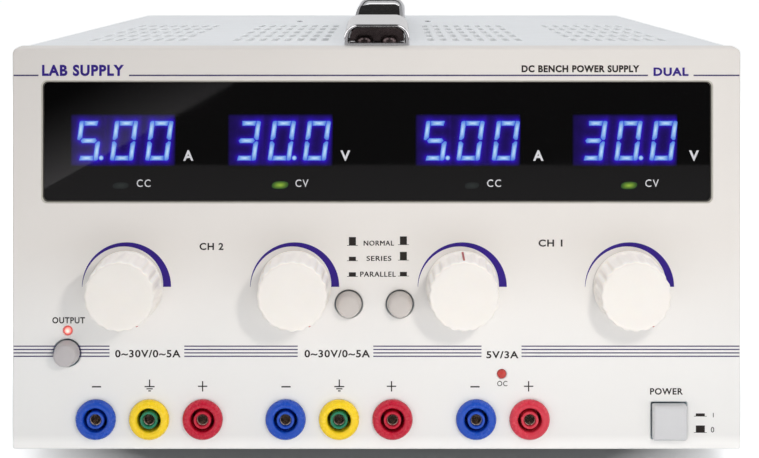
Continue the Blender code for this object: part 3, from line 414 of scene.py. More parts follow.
def boolean(a, b, op="DIFFERENCE", keep_b=False):
    bmesh.ops.recalc_face_normals(a, faces=a.faces)
    bmesh.ops.recalc_face_normals(b, faces=b.faces)
    obs = []
    for bm in (a, b):
        me = bpy.data.meshes.new("tmp")
        bm.to_mesh(me)
        o = bpy.data.objects.new("tmp", me)
        bpy.context.scene.collection.objects.link(o)
        obs.append(o)
    a.free()
    if not keep_b:
        b.free()
    m = obs[0].modifiers.new("b", "BOOLEAN")
    m.operation, m.solver, m.object = op, "EXACT", obs[1]
    bpy.context.view_layer.update()
    me = bpy.data.meshes.new_from_object(obs[0].evaluated_get(bpy.context.evaluated_depsgraph_get()))
    out = bmesh.new()
    out.from_mesh(me)
    bpy.data.meshes.remove(me)
    for o in obs:
        d = o.data
        bpy.data.objects.remove(o, do_unlink=True)
        bpy.data.meshes.remove(d)
    return out


def lathe(profile, steps, centre, axis="Y", ring=False):
    bm = bmesh.new()
    vs = [bm.verts.new((r, 0, h)) for r, h in profile]
    es = [bm.edges.new((a, b)) for a, b in zip(vs, vs[1:])]
    if ring:
        es.append(bm.edges.new((vs[-1], vs[0])))
    bmesh.ops.spin(bm, geom=vs + es, cent=(0, 0, 0), axis=(0, 0, 1), dvec=(0, 0, 0), angle=2 * math.pi, steps=steps, use_merge=True)
    bmesh.ops.remove_doubles(bm, verts=bm.verts, dist=1e-7)
    if axis == "Y":
        bmesh.ops.transform(bm, matrix=Matrix.Rotation(-math.pi / 2, 4, "X"), verts=bm.verts)
    elif axis == "X":
        bmesh.ops.transform(bm, matrix=Matrix.Rotation(math.pi / 2, 4, "Y"), verts=bm.verts)
    bmesh.ops.translate(bm, verts=bm.verts, vec=centre)
    return bm


def box(x0, x1, y0, y1, z0, z1):
    bm = bmesh.new()
    r = bmesh.ops.create_cube(bm, size=1.0)
    m = Matrix.Translation(((x0 + x1) / 2, (y0 + y1) / 2, (z0 + z1) / 2)) @ Matrix.Diagonal((x1 - x0, y1 - y0, z1 - z0, 1))
    bmesh.ops.transform(bm, matrix=m, verts=r["verts"])
    return bm


def rrect(x0, x1, z0, z1, r, n=6):
    """Rounded rectangle outline; r is one radius or (top right, top left, bottom left, bottom right)."""
    rs = r if isinstance(r, (list, tuple)) else (r,) * 4
    pts = []
    for (sx, sz, a0), q in zip(((1, 1, 0), (-1, 1, 90), (-1, -1, 180), (1, -1, 270)), rs):
        cx = x1 - q if sx > 0 else x0 + q
        cz = z1 - q if sz > 0 else z0 + q
        for i in range(n + 1):
            a = math.radians(a0 + 90 * i / n)
            pts.append((cx + q * math.cos(a), cz + q * math.sin(a)))
    return pts


def loft(rings, cap=(True, True)):
    """Skin over rings of equally many points."""
    bm = bmesh.new()
    vr = [[bm.verts.new(p) for p in ring] for ring in rings]
    n = len(vr[0])
    for a, b in zip(vr, vr[1:]):
        for i in range(n):
            bm.faces.new((a[i], a[(i + 1) % n], b[(i + 1) % n], b[i]))
    if cap[0]:
        bm.faces.new(vr[0])
    if cap[1]:
        bm.faces.new(vr[-1])
    bmesh.ops.remove_doubles(bm, verts=bm.verts, dist=1e-8)
    return bm


def prism(pts, a, b, axis="Y"):
    place = {"Y": lambda p, t: (p[0], t, p[1]), "X": lambda p, t: (t, p[0], p[1]), "Z": lambda p, t: (p[0], p[1], t)}[axis]
    return loft([[place(p, a) for p in pts], [place(p, b) for p in pts]])


def arc_pts(c, r, a0, a1, n):
    return [(c[0] + r * math.cos(math.radians(a0 + (a1 - a0) * i / n)), c[1] + r * math.sin(math.radians(a0 + (a1 - a0) * i / n))) for i in range(n + 1)]


def flat(polys, y):
    """Flat ink polygons in (x, z), facing the viewer."""
    bm = bmesh.new()
    for pts in polys:
        f = bm.faces.new([bm.verts.new((x, y, z)) for x, z in pts])
        f.normal_update()
        if f.normal.y > 0:
            f.normal_flip()
    return bm


def text_bm(string, x0, x1, z0, z1, y, bold=0.0, space=1.06):
    """Lettering fitted into a rectangle on the panel."""
    cu = bpy.data.curves.new("tmp", "FONT")
    cu.body = string
    cu.size = 1.0
    cu.offset = bold
    cu.resolution_u = 4
    cu.space_character = space
    ob = bpy.data.objects.new("tmp", cu)
    bpy.context.scene.collection.objects.link(ob)
    bpy.context.view_layer.update()
    me = bpy.data.meshes.new_from_object(ob.evaluated_get(bpy.context.evaluated_depsgraph_get()))
    bpy.data.objects.remove(ob, do_unlink=True)
    bm = bmesh.new()
    bm.from_mesh(me)
    bpy.data.meshes.remove(me)
    co = np.array([v.co[:] for v in bm.verts])
    lo, hi = co.min(0), co.max(0)
    sx, sz = (x1 - x0) / (hi[0] - lo[0]), (z1 - z0) / (hi[1] - lo[1])
    for v in bm.verts:
        u, w = v.co.x - lo[0], v.co.y - lo[1]
        v.co = Vector((x0 + u * sx, y, z0 + w * sz))
    for f in bm.faces:
        f.normal_update()
        if f.normal.y > 0:
            f.normal_flip()
    return bm


def rect(x0, x1, z0, z1):
    return [(x0, z0), (x1, z0), (x1, z1), (x0, z1)]


K = 0.3569


def px(x):
    return (x - 376.5) * K * MM


def pz(y):
    return ZB + (449.5 - y) * K * MM


def screw_bm(c, normal, r=2.6 * MM, h=1.5 * MM, cross=True, seg=28):
    """Pan-head screw with a cross recess, its head standing out along `normal` from c."""
    prof = [(0, h), (r * 0.35, h * 0.985), (r * 0.7, h * 0.86), (r * 0.9, h * 0.62), (r, h * 0.28), (r, 0), (0, 0)]
    bm = lathe(prof, seg, (0, 0, 0), "Z")
    if cross:
        w, l = r * 0.17, r * 0.62
        c1 = box(-l, l, -w, w, h * 0.35, h * 2)
        c2 = box(-w, w, -l, l, h * 0.351, h * 2)
        bm = boolean(bm, boolean(c1, c2, "UNION"))
    q = Vector((0, 0, 1)).rotation_difference(Vector(normal)).to_matrix().to_4x4()
    bmesh.ops.transform(bm, matrix=Matrix.Translation(c) @ q, verts=bm.verts)
    return bm


# ---------------------------------------------------------------- front bezel
def bezel():
    rings = []

    def inset(y, width, depth):
        return width * (1 - math.sqrt(max(0.0, 1 - (1 - y / depth) ** 2))) if y < depth else 0.0

    levels = sorted({round(d * (1 - math.cos(math.radians(90 * k / n))), 7) for d, n in ((1.1 * MM, 6), (0.8 * MM, 5)) for k in range(n + 1)})
    for y in levels + [HI.y - YF]:
        t = inset(y, 0.9 * MM, 1.1 * MM) + 0.75 * MM - 0.45 * MM * y / (HI.y - YF)
        sd, b = inset(y, 0.6 * MM, 0.8 * MM), inset(y, 0.6 * MM, 0.8 * MM)
        o = rrect(-XW + sd, XW - sd, ZB + b, ZT - t, (2.0 * MM, 2.0 * MM, 0.8 * MM, 0.8 * MM), 6)
        rings.append([(x, YF + y, z) for x, z in o])
    bm = loft(rings)
    w = 2.0 * MM
    bm = boolean(bm, box(-XW + w, XW - w, YF + 3.2 * MM, HI.y + 5 * MM, ZB + w, ZT - w))
    # window opening with a sloped rim
    wl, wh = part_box("display_window")
    levels = [(-2.0 * MM, 0.25 * MM), (-0.01 * MM, 0.12 * MM), (0.04 * MM, 0.03 * MM), (0.14 * MM, -0.04 * MM), (0.56 * MM, -0.46 * MM), (0.8 * MM, -0.72 * MM), (0.93 * MM, -0.8 * MM), (1.25 * MM, -0.82 * MM),
              (1.26 * MM, 0.3 * MM), (6 * MM, 0.3 * MM)]
    cut = loft([[(x, YF + y, z) for x, z in rrect(wl.x - o, wh.x + o, wl.z - 0.35 * MM - o, wh.z + 0.4 * MM + o, 2.1 * MM + o * 0.6, 6)] for y, o in levels])
    bm = boolean(bm, cut)
    holes = []

    def hole(c, r, f=0.45 * MM, seg=40):
        prof = [(0, YF - 2 * MM), (r + f, YF - 2 * MM)]
        prof += [(r + f * (1 - math.sin(math.radians(18 * k))), YF + f * (1 - math.cos(math.radians(18 * k)))) for k in range(6)]
        prof += [(r, YF + 6 * MM), (0, YF + 6 * MM)]
        holes.append(lathe(prof, seg, (c.x, 0, c.z), "Y"))

    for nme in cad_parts:
        if nme.startswith("socket_"):
            hole(mid(nme), 6.1 * MM, 0.3 * MM)
        elif nme in ("button_output", "button_track_left", "button_track_right"):
            hole(mid(nme), 5.0 * MM, 0.55 * MM)
        elif nme.startswith("knob_"):
            hole(mid(nme), 5.0 * MM, 0.3 * MM)
        elif nme.startswith("led_"):
            hole(mid(nme), 1.75 * MM, 0.25 * MM, 28)
    c = mid("button_power")
    lo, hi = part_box("button_power")
    lv = [(-2 * MM, 0.5 * MM), (0.0, 0.5 * MM), (0.16 * MM, 0.2 * MM), (0.5 * MM, 0.0), (6 * MM, 0.0)]
    holes.append(loft([[(x, YF + y, z) for x, z in rrect(lo.x - 0.34 * MM - o, hi.x - 0.18 * MM + o, lo.z - 0.34 * MM - o, hi.z - 0.40 * MM + o, 0.5 * MM + o, 4)] for y, o in lv]))
    bm = boolean(bm, merge(*holes))
    bmesh.ops.recalc_face_normals(bm, faces=bm.faces)
    # painted shade: faces of the window opening take the darker rim plastic, and the darkest copy further in
    for f in bm.faces:
        c = f.calc_center_median()
        inside = wl.x - 0.2 * MM < c.x < wh.x + 0.2 * MM and wl.z - 0.6 * MM < c.z < wh.z + 0.6 * MM
        f.material_index = (2 if c.y > YF + 0.57 * MM else 1) if inside and YF + 0.02 * MM < c.y < YF + 1.3 * MM else 0
    add("bezel_shell", bm, [M["bezel"], M["rim"], M["rim_dark"]], replaces=("front_bezel",), smooth=28, weighted=True)


bezel()

# ---------------------------------------------------------------- display window
wl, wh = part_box("display_window")
GLASS_Y = YF + 1.3 * MM
lv = [(0.0, 0.12 * MM), (0.1 * MM, 0.02 * MM), (0.2 * MM, 0.0), (1.4 * MM, 0.0)]
bm = loft([[(x, GLASS_Y + y, z) for x, z in rrect(wl.x + o, wh.x - o, wl.z + o, wh.z - o, 1.9 * MM, 6)] for y, o in lv])
add("window_glass", bm, M["window"], replaces=("display_window",), smooth=30, weighted=True)

# dark light-box behind the window, so that only the modules show through
bm = box(wl.x + 0.5 * MM, wh.x - 0.5 * MM, YF + 2.95 * MM, YF + 3.05 * MM, wl.z + 0.5 * MM, wh.z - 0.5 * MM)
for i in range(1, 5):
    c = mid(f"display_{i}")
    lo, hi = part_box(f"display_{i}")
    bm = boolean(bm, box(lo.x - 0.2 * MM, hi.x + 0.2 * MM, YF + 2 * MM, YF + 4 * MM, lo.z - 0.2 * MM, hi.z + 0.2 * MM))
add("window_mask", bm, M["black"], smooth=None)

# ---------------------------------------------------------------- seven-segment modules
DEPTH = 3.1 * MM
S_D = CAM_D / (CAM_D + DEPTH)


def behind(x, z):
    """Keeps a mark that sits behind the window where the eye sees it on the window."""
    return CAM_X + (x - CAM_X) / S_D, CAM_Z + (z - CAM_Z) / S_D


W7, H7, T7, G7 = 8.3, 14.1, 1.68, 0.2


def seg_polys():
    """Outlines of the seven bars in millimetres about the middle of a digit; the upright bars hold the corners."""
    w, h, t, g = W7 / 2, H7 / 2, T7, G7
    a = [(-w + t * 0.86 + g, h), (w - t * 0.86 - g, h), (w - t - g, h - t), (-w + t + g, h - t)]
    f = [(-w, h - 0.62), (-w + 0.16, h - 0.2), (-w + 0.6, h), (-w + t * 0.86, h), (-w + t, h - t), (-w + t, t * 0.5 + g), (-w + t * 0.5, g), (-w + 0.12, 0.32), (-w, 0.7)]
    gseg = [(-w + t * 0.62 + g, 0), (-w + t + g, t / 2), (w - t - g, t / 2), (w - t * 0.62 - g, 0), (w - t - g, -t / 2), (-w + t + g, -t / 2)]
    flip = lambda pts, sx, sz: [(x * sx, z * sz) for x, z in (pts if sx * sz > 0 else pts[::-1])]
    return {"a": a, "f": f, "b": flip(f, -1, 1), "e": flip(f, 1, -1), "c": flip(f, -1, -1), "d": flip(a, 1, -1), "g": gseg}


GLYPH = {"0": "abcdef", "3": "abcdg", "5": "afgcd"}
SLANT = math.tan(math.radians(7.6))


def digits():
    segs = seg_polys()
    lit_polys, dots, bars = [], [], []
    hot = bmesh.new()
    layer = hot.verts.layers.float.new("hot")
    zc = pz(140.8)
    mods = [([88.75, 124.05, 159.35], "500", 0), ([246.8, 281.85, 316.85], "300", 1), ([435.25, 470.55, 505.85], "500", 0), ([593.4, 628.45, 663.45], "300", 1)]
    y = YF + DEPTH - 0.06 * MM

    def fan(pts, cx, cz, hotspan):
        c = hot.verts.new((cx, y, cz))
        c[layer] = 1.0
        inner, outer = [], []
        for x, z in pts:
            v = hot.verts.new((x, y, z))
            v[layer] = 0.0
            outer.append(v)
            u = hot.verts.new((cx + (x - cx) * hotspan, y, cz + (z - cz) * hotspan))
            u[layer] = 0.55
            inner.append(u)
        n = len(pts)
        for i in range(n):
            j = (i + 1) % n
            hot.faces.new((outer[i], outer[j], inner[j], inner[i]))
            hot.faces.new((inner[i], inner[j], c))

    for xs, glyphs, dot in mods:
        for k, (xp, ch) in enumerate(zip(xs, glyphs)):
            for s in GLYPH[ch]:
                pts = []
                for u, w in segs[s]:
                    x, z = behind(px(xp) + (u + w * SLANT) * MM, zc + w * MM)
                    pts.append((x, z))
                cx = sum(p[0] for p in pts) / len(pts)
                cz = sum(p[1] for p in pts) / len(pts)
                fan(pts, cx, cz, 0.55)
                xsn = [p[0] for p in pts]
                zsn = [p[1] for p in pts]
                if s in "adg":
                    bars.append(((min(xsn) + 0.8 * MM, cz), (max(xsn) - 0.8 * MM, cz)))
                else:
                    lo_i, hi_i = int(np.argmin(zsn)), int(np.argmax(zsn))
                    half = (max(zsn) - min(zsn)) / 2 - 0.8 * MM
                    bars.append(((cx - half * SLANT, cz - half), (cx + half * SLANT, cz + half)))
            if k == dot:
                x, z = behind(px(xp + 12.45), pz(158.0))
                fan(arc_pts((x, z), 0.86 * MM, 0, 345, 23), x, z, 0.7)
                dots.append((x, z))
    add("display_segments", hot, M["segment"], smooth=None, recalc=False)
    # glowing face of each module
    bars_a = np.array([b[0] for b in bars] + dots)
    bars_b = np.array([b[1] for b in bars] + dots)
    for i in range(1, 5):
        lo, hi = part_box(f"display_{i}")
        nx, nz = 96, 50
        xs, zs = np.linspace(lo.x, hi.x, nx), np.linspace(lo.z, hi.z, nz)
        gx, gz = np.meshgrid(xs, zs, indexing="ij")
        p = np.stack([gx.ravel(), gz.ravel()], 1)
        near = np.ones(len(p)) * 9
        acc = np.zeros(len(p))
        for a, b in zip(bars_a, bars_b):
            d = b - a
            l2 = max(float(d @ d), 1e-12)
            t = np.clip((p - a) @ d / l2, 0, 1)[:, None]
            r = np.linalg.norm(p - (a + t * d), axis=1) / MM
            acc += np.exp(-np.maximum(r - 0.8, 0) / 0.6)
            near = np.minimum(near, r)
        glow = np.clip(acc, 0, 1.4) * 0.7
        ex = np.minimum(p[:, 0] - lo.x, hi.x - p[:, 0]) / MM
        ez = np.minimum(p[:, 1] - lo.z, hi.z - p[:, 1]) / MM
        cells = np.ones(len(p))
        for kx in (-6.3, 6.3):                               # faint walls between the digits
            cells += 0.45 * np.exp(-((p[:, 0] / MM - (lo.x + hi.x) / 2 / MM - kx) / 0.4) ** 2)
        field = np.clip(ex / 0.9, 0, 1) * np.clip(ez / 0.9, 0, 1) * (0.5 + 0.5 * np.exp(-np.maximum(near - 1, 0) / 2.6)) * cells
        bm = bmesh.new()
        lg, lf = bm.verts.layers.float.new("glow"), bm.verts.layers.float.new("field")
        vs = []
        for (x, z), g1, f1 in zip(p, glow, field):
            v = bm.verts.new((x, YF + DEPTH, z))
            v[lg], v[lf] = float(g1), float(f1)
            vs.append(v)
        for ix in range(nx - 1):
            for iz in range(nz - 1):
                q = [vs[ix * nz + iz], vs[(ix + 1) * nz + iz], vs[(ix + 1) * nz + iz + 1], vs[ix * nz + iz + 1]]
                bm.faces.new(q)
        add(f"module_face_{i}", bm, M["module"], smooth=None, recalc=False)
        y0, y1 = YF + DEPTH + 0.02 * MM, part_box(f"display_{i}")[1].y
        bm = box(lo.x, hi.x, y0, y1, lo.z, hi.z)
        add(f"module_body_{i}", bm, M["black"], replaces=(f"display_{i}",), smooth=30, bevel=(0.3 * MM, 2))


digits()


def mode_leds():
    """Small slanted lamps beside CC and CV, behind the window."""
    on, off = bmesh.new(), bmesh.new()
    layer = on.verts.layers.float.new("hot")
    off.verts.layers.float.new("hot")
    for x0, x1, y0, y1, is_on in ((112.7, 128.7, 182.4, 189.0, 0), (271.8, 288.3, 181.2, 189.0, 1), (464.7, 479.0, 182.4, 189.0, 0), (620.9, 637.0, 181.7, 189.3, 1)):
        bm = on if is_on else off
        lay = bm.verts.layers.float["hot"]
        cx, cz = behind((px(x0) + px(x1)) / 2, (pz(y0) + pz(y1)) / 2)
        rx, rz = (px(x1) - px(x0)) / 2, (pz(y0) - pz(y1)) / 2
        c = bm.verts.new((cx, YF + 2.9 * MM, cz))
        c[lay] = 1.0
        ring = []
        for k in range(28):
            a = 2 * math.pi * k / 28
            e = 2.6
            u = math.copysign(abs(math.cos(a)) ** (2 / e), math.cos(a)) * rx
            w = math.copysign(abs(math.sin(a)) ** (2 / e), math.sin(a)) * rz
            v = bm.verts.new((cx + u + w * 0.25, YF + 2.9 * MM, cz + w))
            v[lay] = 0.0
            ring.append(v)
        for k in range(28):
            bm.faces.new((ring[k], ring[(k + 1) % 28], c))
    add("mode_lamps_lit", on, M["green_led"], smooth=None, recalc=False)
    # the unlit lamps carry the faint painted glow of dim_led_mat
    add("mode_lamps_unlit", off, M["dim_led"], smooth=None, recalc=False)


mode_leds()

# ---------------------------------------------------------------- printing on the window
yw = GLASS_Y - 0.02 * MM
whites = []
for s, x0, x1, y0, y1, bold in (("A", 182.8, 193.0, 150.7, 161.4, 0.03), ("V", 340.2, 350.2, 150.9, 161.4, 0.03), ("A", 533.4, 543.9, 150.7, 161.4, 0.03),
                                ("V", 689.6, 699.6, 150.9, 161.4, 0.03), ("CC", 136.2, 150.0, 180.1, 187.6, 0.006), ("CV", 295.2, 308.2, 180.1, 187.6, 0.006),
                                ("CC", 487.3, 501.3, 180.1, 187.6, 0.006), ("CV", 645.8, 659.4, 180.1, 187.6, 0.006)):
    whites.append(text_bm(s, px(x0), px(x1), pz(y1), pz(y0), yw, bold, 1.22))
add("window_print", merge(*whites), M["white"], smooth=None, recalc=False)

# ---------------------------------------------------------------- printing on the panel
yi = YF - 0.025 * MM


def hline(x0, x1, y, t=0.45 * MM):
    return rect(px(x0), px(x1), pz(y) - t / 2, pz(y) + t / 2)


lines = [hline(13.6, 38.5, 75.5, 0.5 * MM), hline(129, 648, 75.5, 0.5 * MM), hline(693.5, 739.5, 75.5, 0.5 * MM)]
for y in (346.3, 349.6, 353.0, 356.4):
    for x0, x1 in ((13.6, 109.5), (184.3, 297.7), (373.3, 481.5), (521.5, 739.5)):
        lines.append(hline(x0, x1, y, 0.42 * MM))
add("print_lines", flat(lines, yi), M["line"], smooth=None, recalc=False)

arcs = []
for i in range(1, 5):
    c = mid(f"knob_{i}")
    ro = 15.9 * MM
    n = 60
    outer = arc_pts((c.x, c.z), ro, 180, 0, n)
    inner = []
    for k in range(n + 1):
        a = math.radians(180 * k / n)
        t = (0.12 + 2.75 * (1 - k / n)) * MM
        inner.append((c.x + (ro - t) * math.cos(a), c.z + (ro - t) * math.sin(a)))
    for k in range(n):
        arcs.append([outer[k], outer[k + 1], inner[n - k - 1], inner[n - k]])
violet = [flat(arcs, yi)]
violet.append(text_bm("LAB SUPPLY", px(42.0), px(124.0), pz(76.2), pz(64.8), yi, 0.042, 1.14))
violet.append(text_bm("DUAL", px(653.5), px(688.5), pz(76.2), pz(67.6), yi, 0.042, 1.14))
add("print_violet", merge(*violet), M["violet"], smooth=None, recalc=False)

inks = []
for s, x0, x1, y0, y1, bold in (
    ("DC BENCH POWER SUPPLY", 521.6, 639.5, 65.3, 72.5, 0.045),
    ("OUTPUT", 52.3, 85.0, 317.2, 323.6, 0.028),
    ("CH 2", 199.5, 223.5, 243.0, 250.2, 0.028),
    ("CH 1", 538.5, 562.5, 239.6, 246.8, 0.028),
    ("NORMAL", 363.8, 393.8, 240.8, 245.7, 0.0),
    ("SERIES", 366.7, 391.2, 256.1, 261.0, 0.0),
    ("PARALLEL", 360.3, 395.7, 271.8, 276.8, 0.0),
    ("0~30V/0~5A", 115.1, 180.6, 350.0, 357.6, 0.024),
    ("0~30V/0~5A", 304.5, 370.0, 350.0, 357.6, 0.024),
    ("5V/3A", 486.4, 518.5, 351.2, 358.5, 0.024),
    ("OC", 497.2, 507.4, 381.0, 386.3, 0.008),
    ("POWER", 650.0, 682.9, 388.2, 394.8, 0.028),
    ("I", 712.9, 713.7, 413.0, 417.4, 0.0),
    ("0", 710.8, 714.2, 427.0, 432.6, 0.008),
):
    inks.append(text_bm(s, px(x0), px(x1), pz(y1), pz(y0), yi, bold, 1.12))
    if s in ("NORMAL", "SERIES", "PARALLEL"):        # small bold lettering: printed twice more, a hair apart
        for k, (dx, dy) in enumerate(((-0.2, 0.1), (0.2, -0.1))):
            inks.append(text_bm(s, px(x0 + dx), px(x1 + dx), pz(y1 + dy), pz(y0 + dy), yi - (k + 1) * 0.000002, bold, 1.12))

marks = []
t = 0.32 * MM


def vbar(x, y0, y1, w=t):
    return rect(px(x) - w / 2, px(x) + w / 2, pz(y1), pz(y0))


def hbar(x0, x1, y, w=t):
    return rect(px(x0), px(x1), pz(y) - w / 2, pz(y) + w / 2)


for x, sign in ((96.5, "-"), (149.6, "e"), (202.6, "+"), (286.0, "-"), (339.3, "e"), (391.5, "+"), (475.0, "-"), (528.6, "+")):
    if sign == "-":
        marks.append(hbar(x - 4.6, x + 4.6, 386.9, 0.5 * MM))
    elif sign == "+":
        marks += [hbar(x - 4.7, x - 0.62, 386.4, 0.42 * MM), hbar(x + 0.62, x + 4.7, 386.4, 0.42 * MM), vbar(x, 381.2, 391.6, 0.44 * MM)]
    else:
        marks += [vbar(x, 379.6, 386.2, 0.42 * MM), hbar(x - 5.0, x + 5.0, 386.7, 0.42 * MM), hbar(x - 3.1, x + 3.1, 388.9, 0.42 * MM), hbar(x - 1.3, x + 1.3, 391.0, 0.42 * MM)]


def key_icon(x, yb, h, w=7.0):
    """Little picture of a key on its base line: tall when it stands out, short when pressed."""
    return [hbar(x - w / 2 - 1.9, x + w / 2 + 1.9, yb, 0.2 * MM), rect(px(x - w / 2), px(x + w / 2), pz(yb) + 0.1 * MM, pz(yb - h))]


marks += key_icon(352.4, 245.5, 8.3) + key_icon(352.4, 260.9, 4.0) + key_icon(352.4, 276.6, 4.2)
marks += key_icon(403.4, 244.8, 8.3) + key_icon(403.4, 260.3, 8.3) + key_icon(403.4, 276.2, 4.2)
marks += key_icon(700.3, 416.3, 2.8, 9.0) + key_icon(700.3, 432.6, 7.0, 9.0)
inks.append(flat(marks, yi))
add("print_dark", merge(*inks), M["ink"], smooth=None, recalc=False)


# ---------------------------------------------------------------- knobs
def knob(i):
    node_name = f"knob_{i}"
    lo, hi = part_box(node_name)
    c = (lo + hi) / 2
    back, face = hi.y, lo.y
    flutes, per = 20, 10
    n = flutes * per
    r0, r1 = 13.0 * MM, 12.35 * MM

    def ring(y, r, depth):
        pts = []
        for k in range(n):
            a = 2 * math.pi * k / n
            f = 0.5 - 0.5 * math.cos(flutes * a)
            rr = r - depth * f ** 1.6
            pts.append((c.x + rr * math.sin(a), y, c.z + rr * math.cos(a)))
        return pts

    rings = [ring(back, 3.4 * MM, 0), ring(back, r0 - 0.3 * MM, 0), ring(back - 0.12 * MM, r0 - 0.08 * MM, 0), ring(back - 0.3 * MM, r0, 0), ring(back - 1.5 * MM, r0, 0.0),
             ring(back - 1.75 * MM, r0 - 0.08 * MM, 0.0), ring(back - 1.9 * MM, r0 - 0.22 * MM, 0.05 * MM), ring(back - 2.3 * MM, r0 - 0.3 * MM, 0.40 * MM), ring(back - 2.9 * MM, r0 - 0.33 * MM, 0.52 * MM)]
    for s in (0.25, 0.5, 0.75):
        rings.append(ring(back - 2.9 * MM + s * (face + 1.6 * MM - back + 2.9 * MM), r0 - 0.33 * MM + s * (r1 - r0 + 0.33 * MM), 0.52 * MM))
    rings.append(ring(face + 1.6 * MM, r1, 0.5 * MM))
    for k in range(1, 8):
        a = math.radians(90 * k / 7)
        rings.append(ring(face + 1.1 * MM * (1 - math.sin(a)) + 0.0 * MM, r1 - 1.1 * MM * (1 - math.cos(a)), 0.5 * MM * (1 - k / 7) ** 0.7 * (1 - 0.4 * k / 7)))
    rings.append(ring(face - 0.0 * MM, r1 - 2.0 * MM, 0.0))
    rings.append(ring(face + 0.03 * MM, 5.0 * MM, 0.0))
    bm = loft(rings, cap=(False, True))
    # bore for the shaft
    inner = lathe([(3.4 * MM, back), (3.25 * MM, back - 0.1 * MM), (3.25 * MM, back - 12.3 * MM), (0, back - 12.3 * MM)], n, (c.x, 0, c.z), "Y")
    bm = merge(bm, inner)
    bmesh.ops.remove_doubles(bm, verts=bm.verts, dist=2e-6)
    add(f"control_knob_{i}", bm, M["knob"], body=f"control_{i}", replaces=(node_name,), smooth=40, weighted=False)
    # pointer line let into the side
    ang = math.radians(POINTER[i])
    d = Vector((math.sin(ang), 0, math.cos(ang)))
    tdir = Vector((math.cos(ang), 0, -math.sin(ang)))
    prof = [(back - 1.9 * MM, r0 - 0.12 * MM), (back - 9.5 * MM, r0 - 0.30 * MM), (face + 1.15 * MM, r1 + 0.02 * MM)]
    rings = []
    for y, r in prof:
        w = 0.42 * MM
        base = Vector((c.x, y, c.z))
        rings.append([tuple(base + d * (r - 0.9 * MM) - tdir * w), tuple(base + d * (r + 0.02 * MM) - tdir * w * 0.8), tuple(base + d * (r + 0.02 * MM) + tdir * w * 0.8), tuple(base + d * (r - 0.9 * MM) + tdir * w)])
    add(f"knob_pointer_{i}", loft(rings), M["pointer"], body=f"control_{i}", smooth=30)


POINTER = {1: 150, 2: 150, 3: 0, 4: 150}
for i in range(1, 5):
    knob(i)


# ---------------------------------------------------------------- push buttons
def round_button(nme, body, mat):
    lo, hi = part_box(nme)
    c = (lo + hi) / 2
    f = lo.y
    seat = YF + 0.15 * MM
    prof = [(0, f - 0.0 * MM), (1.4 * MM, f + 0.03 * MM), (2.6 * MM, f + 0.12 * MM), (3.35 * MM, f + 0.3 * MM), (3.75 * MM, f + 0.58 * MM), (3.98 * MM, f + 1.0 * MM), (4.08 * MM, f + 1.5 * MM),
            (4.5 * MM, seat - 0.5 * MM), (4.62 * MM, seat - 0.1 * MM), (4.62 * MM, seat + 2.4 * MM), (2.0 * MM, seat + 2.4 * MM), (2.0 * MM, hi.y), (0, hi.y)]
    # the skirt behind the face stays inside the hole when the key is pressed
    prof[9] = (4.62 * MM, seat)
    prof[10] = (2.0 * MM, seat + 0.01 * MM)
    add("key_" + nme[7:], lathe(prof, 48, (c.x, 0, c.z), "Y"), mat, body=body, replaces=(nme,), smooth=30)


round_button("button_output", "output_key", M["button2"])
round_button("button_track_left", "track_left", M["button"])
round_button("button_track_right", "track_right", M["button"])

lo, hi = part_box("button_power")
f, seat = lo.y, YF + 0.15 * MM
hi.x, hi.z = hi.x - 0.5 * MM, hi.z - 0.72 * MM
lv = [(f, 1.3), (f + 0.05 * MM, 0.85), (f + 0.2 * MM, 0.45), (f + 0.5 * MM, 0.18), (f + 0.95 * MM, 0.04), (f + 1.5 * MM, 0.0), (seat, 0.0)]
rings = [[(x, y, z) for x, z in rrect(lo.x + o * MM, hi.x - o * MM, lo.z + o * MM, hi.z - o * MM, max(0.25, 0.7 - o) * MM, 6)] for y, o in lv]
bm = loft(rings)
c = mid("button_power")
stem = box(c.x - 2 * MM, c.x + 2 * MM, seat - 0.5 * MM, hi.y, c.z - 2 * MM, c.z + 2 * MM)
add("key_power", boolean(bm, stem, "UNION"), M["power"], body="power_key", replaces=("button_power",), smooth=30, weighted=True)


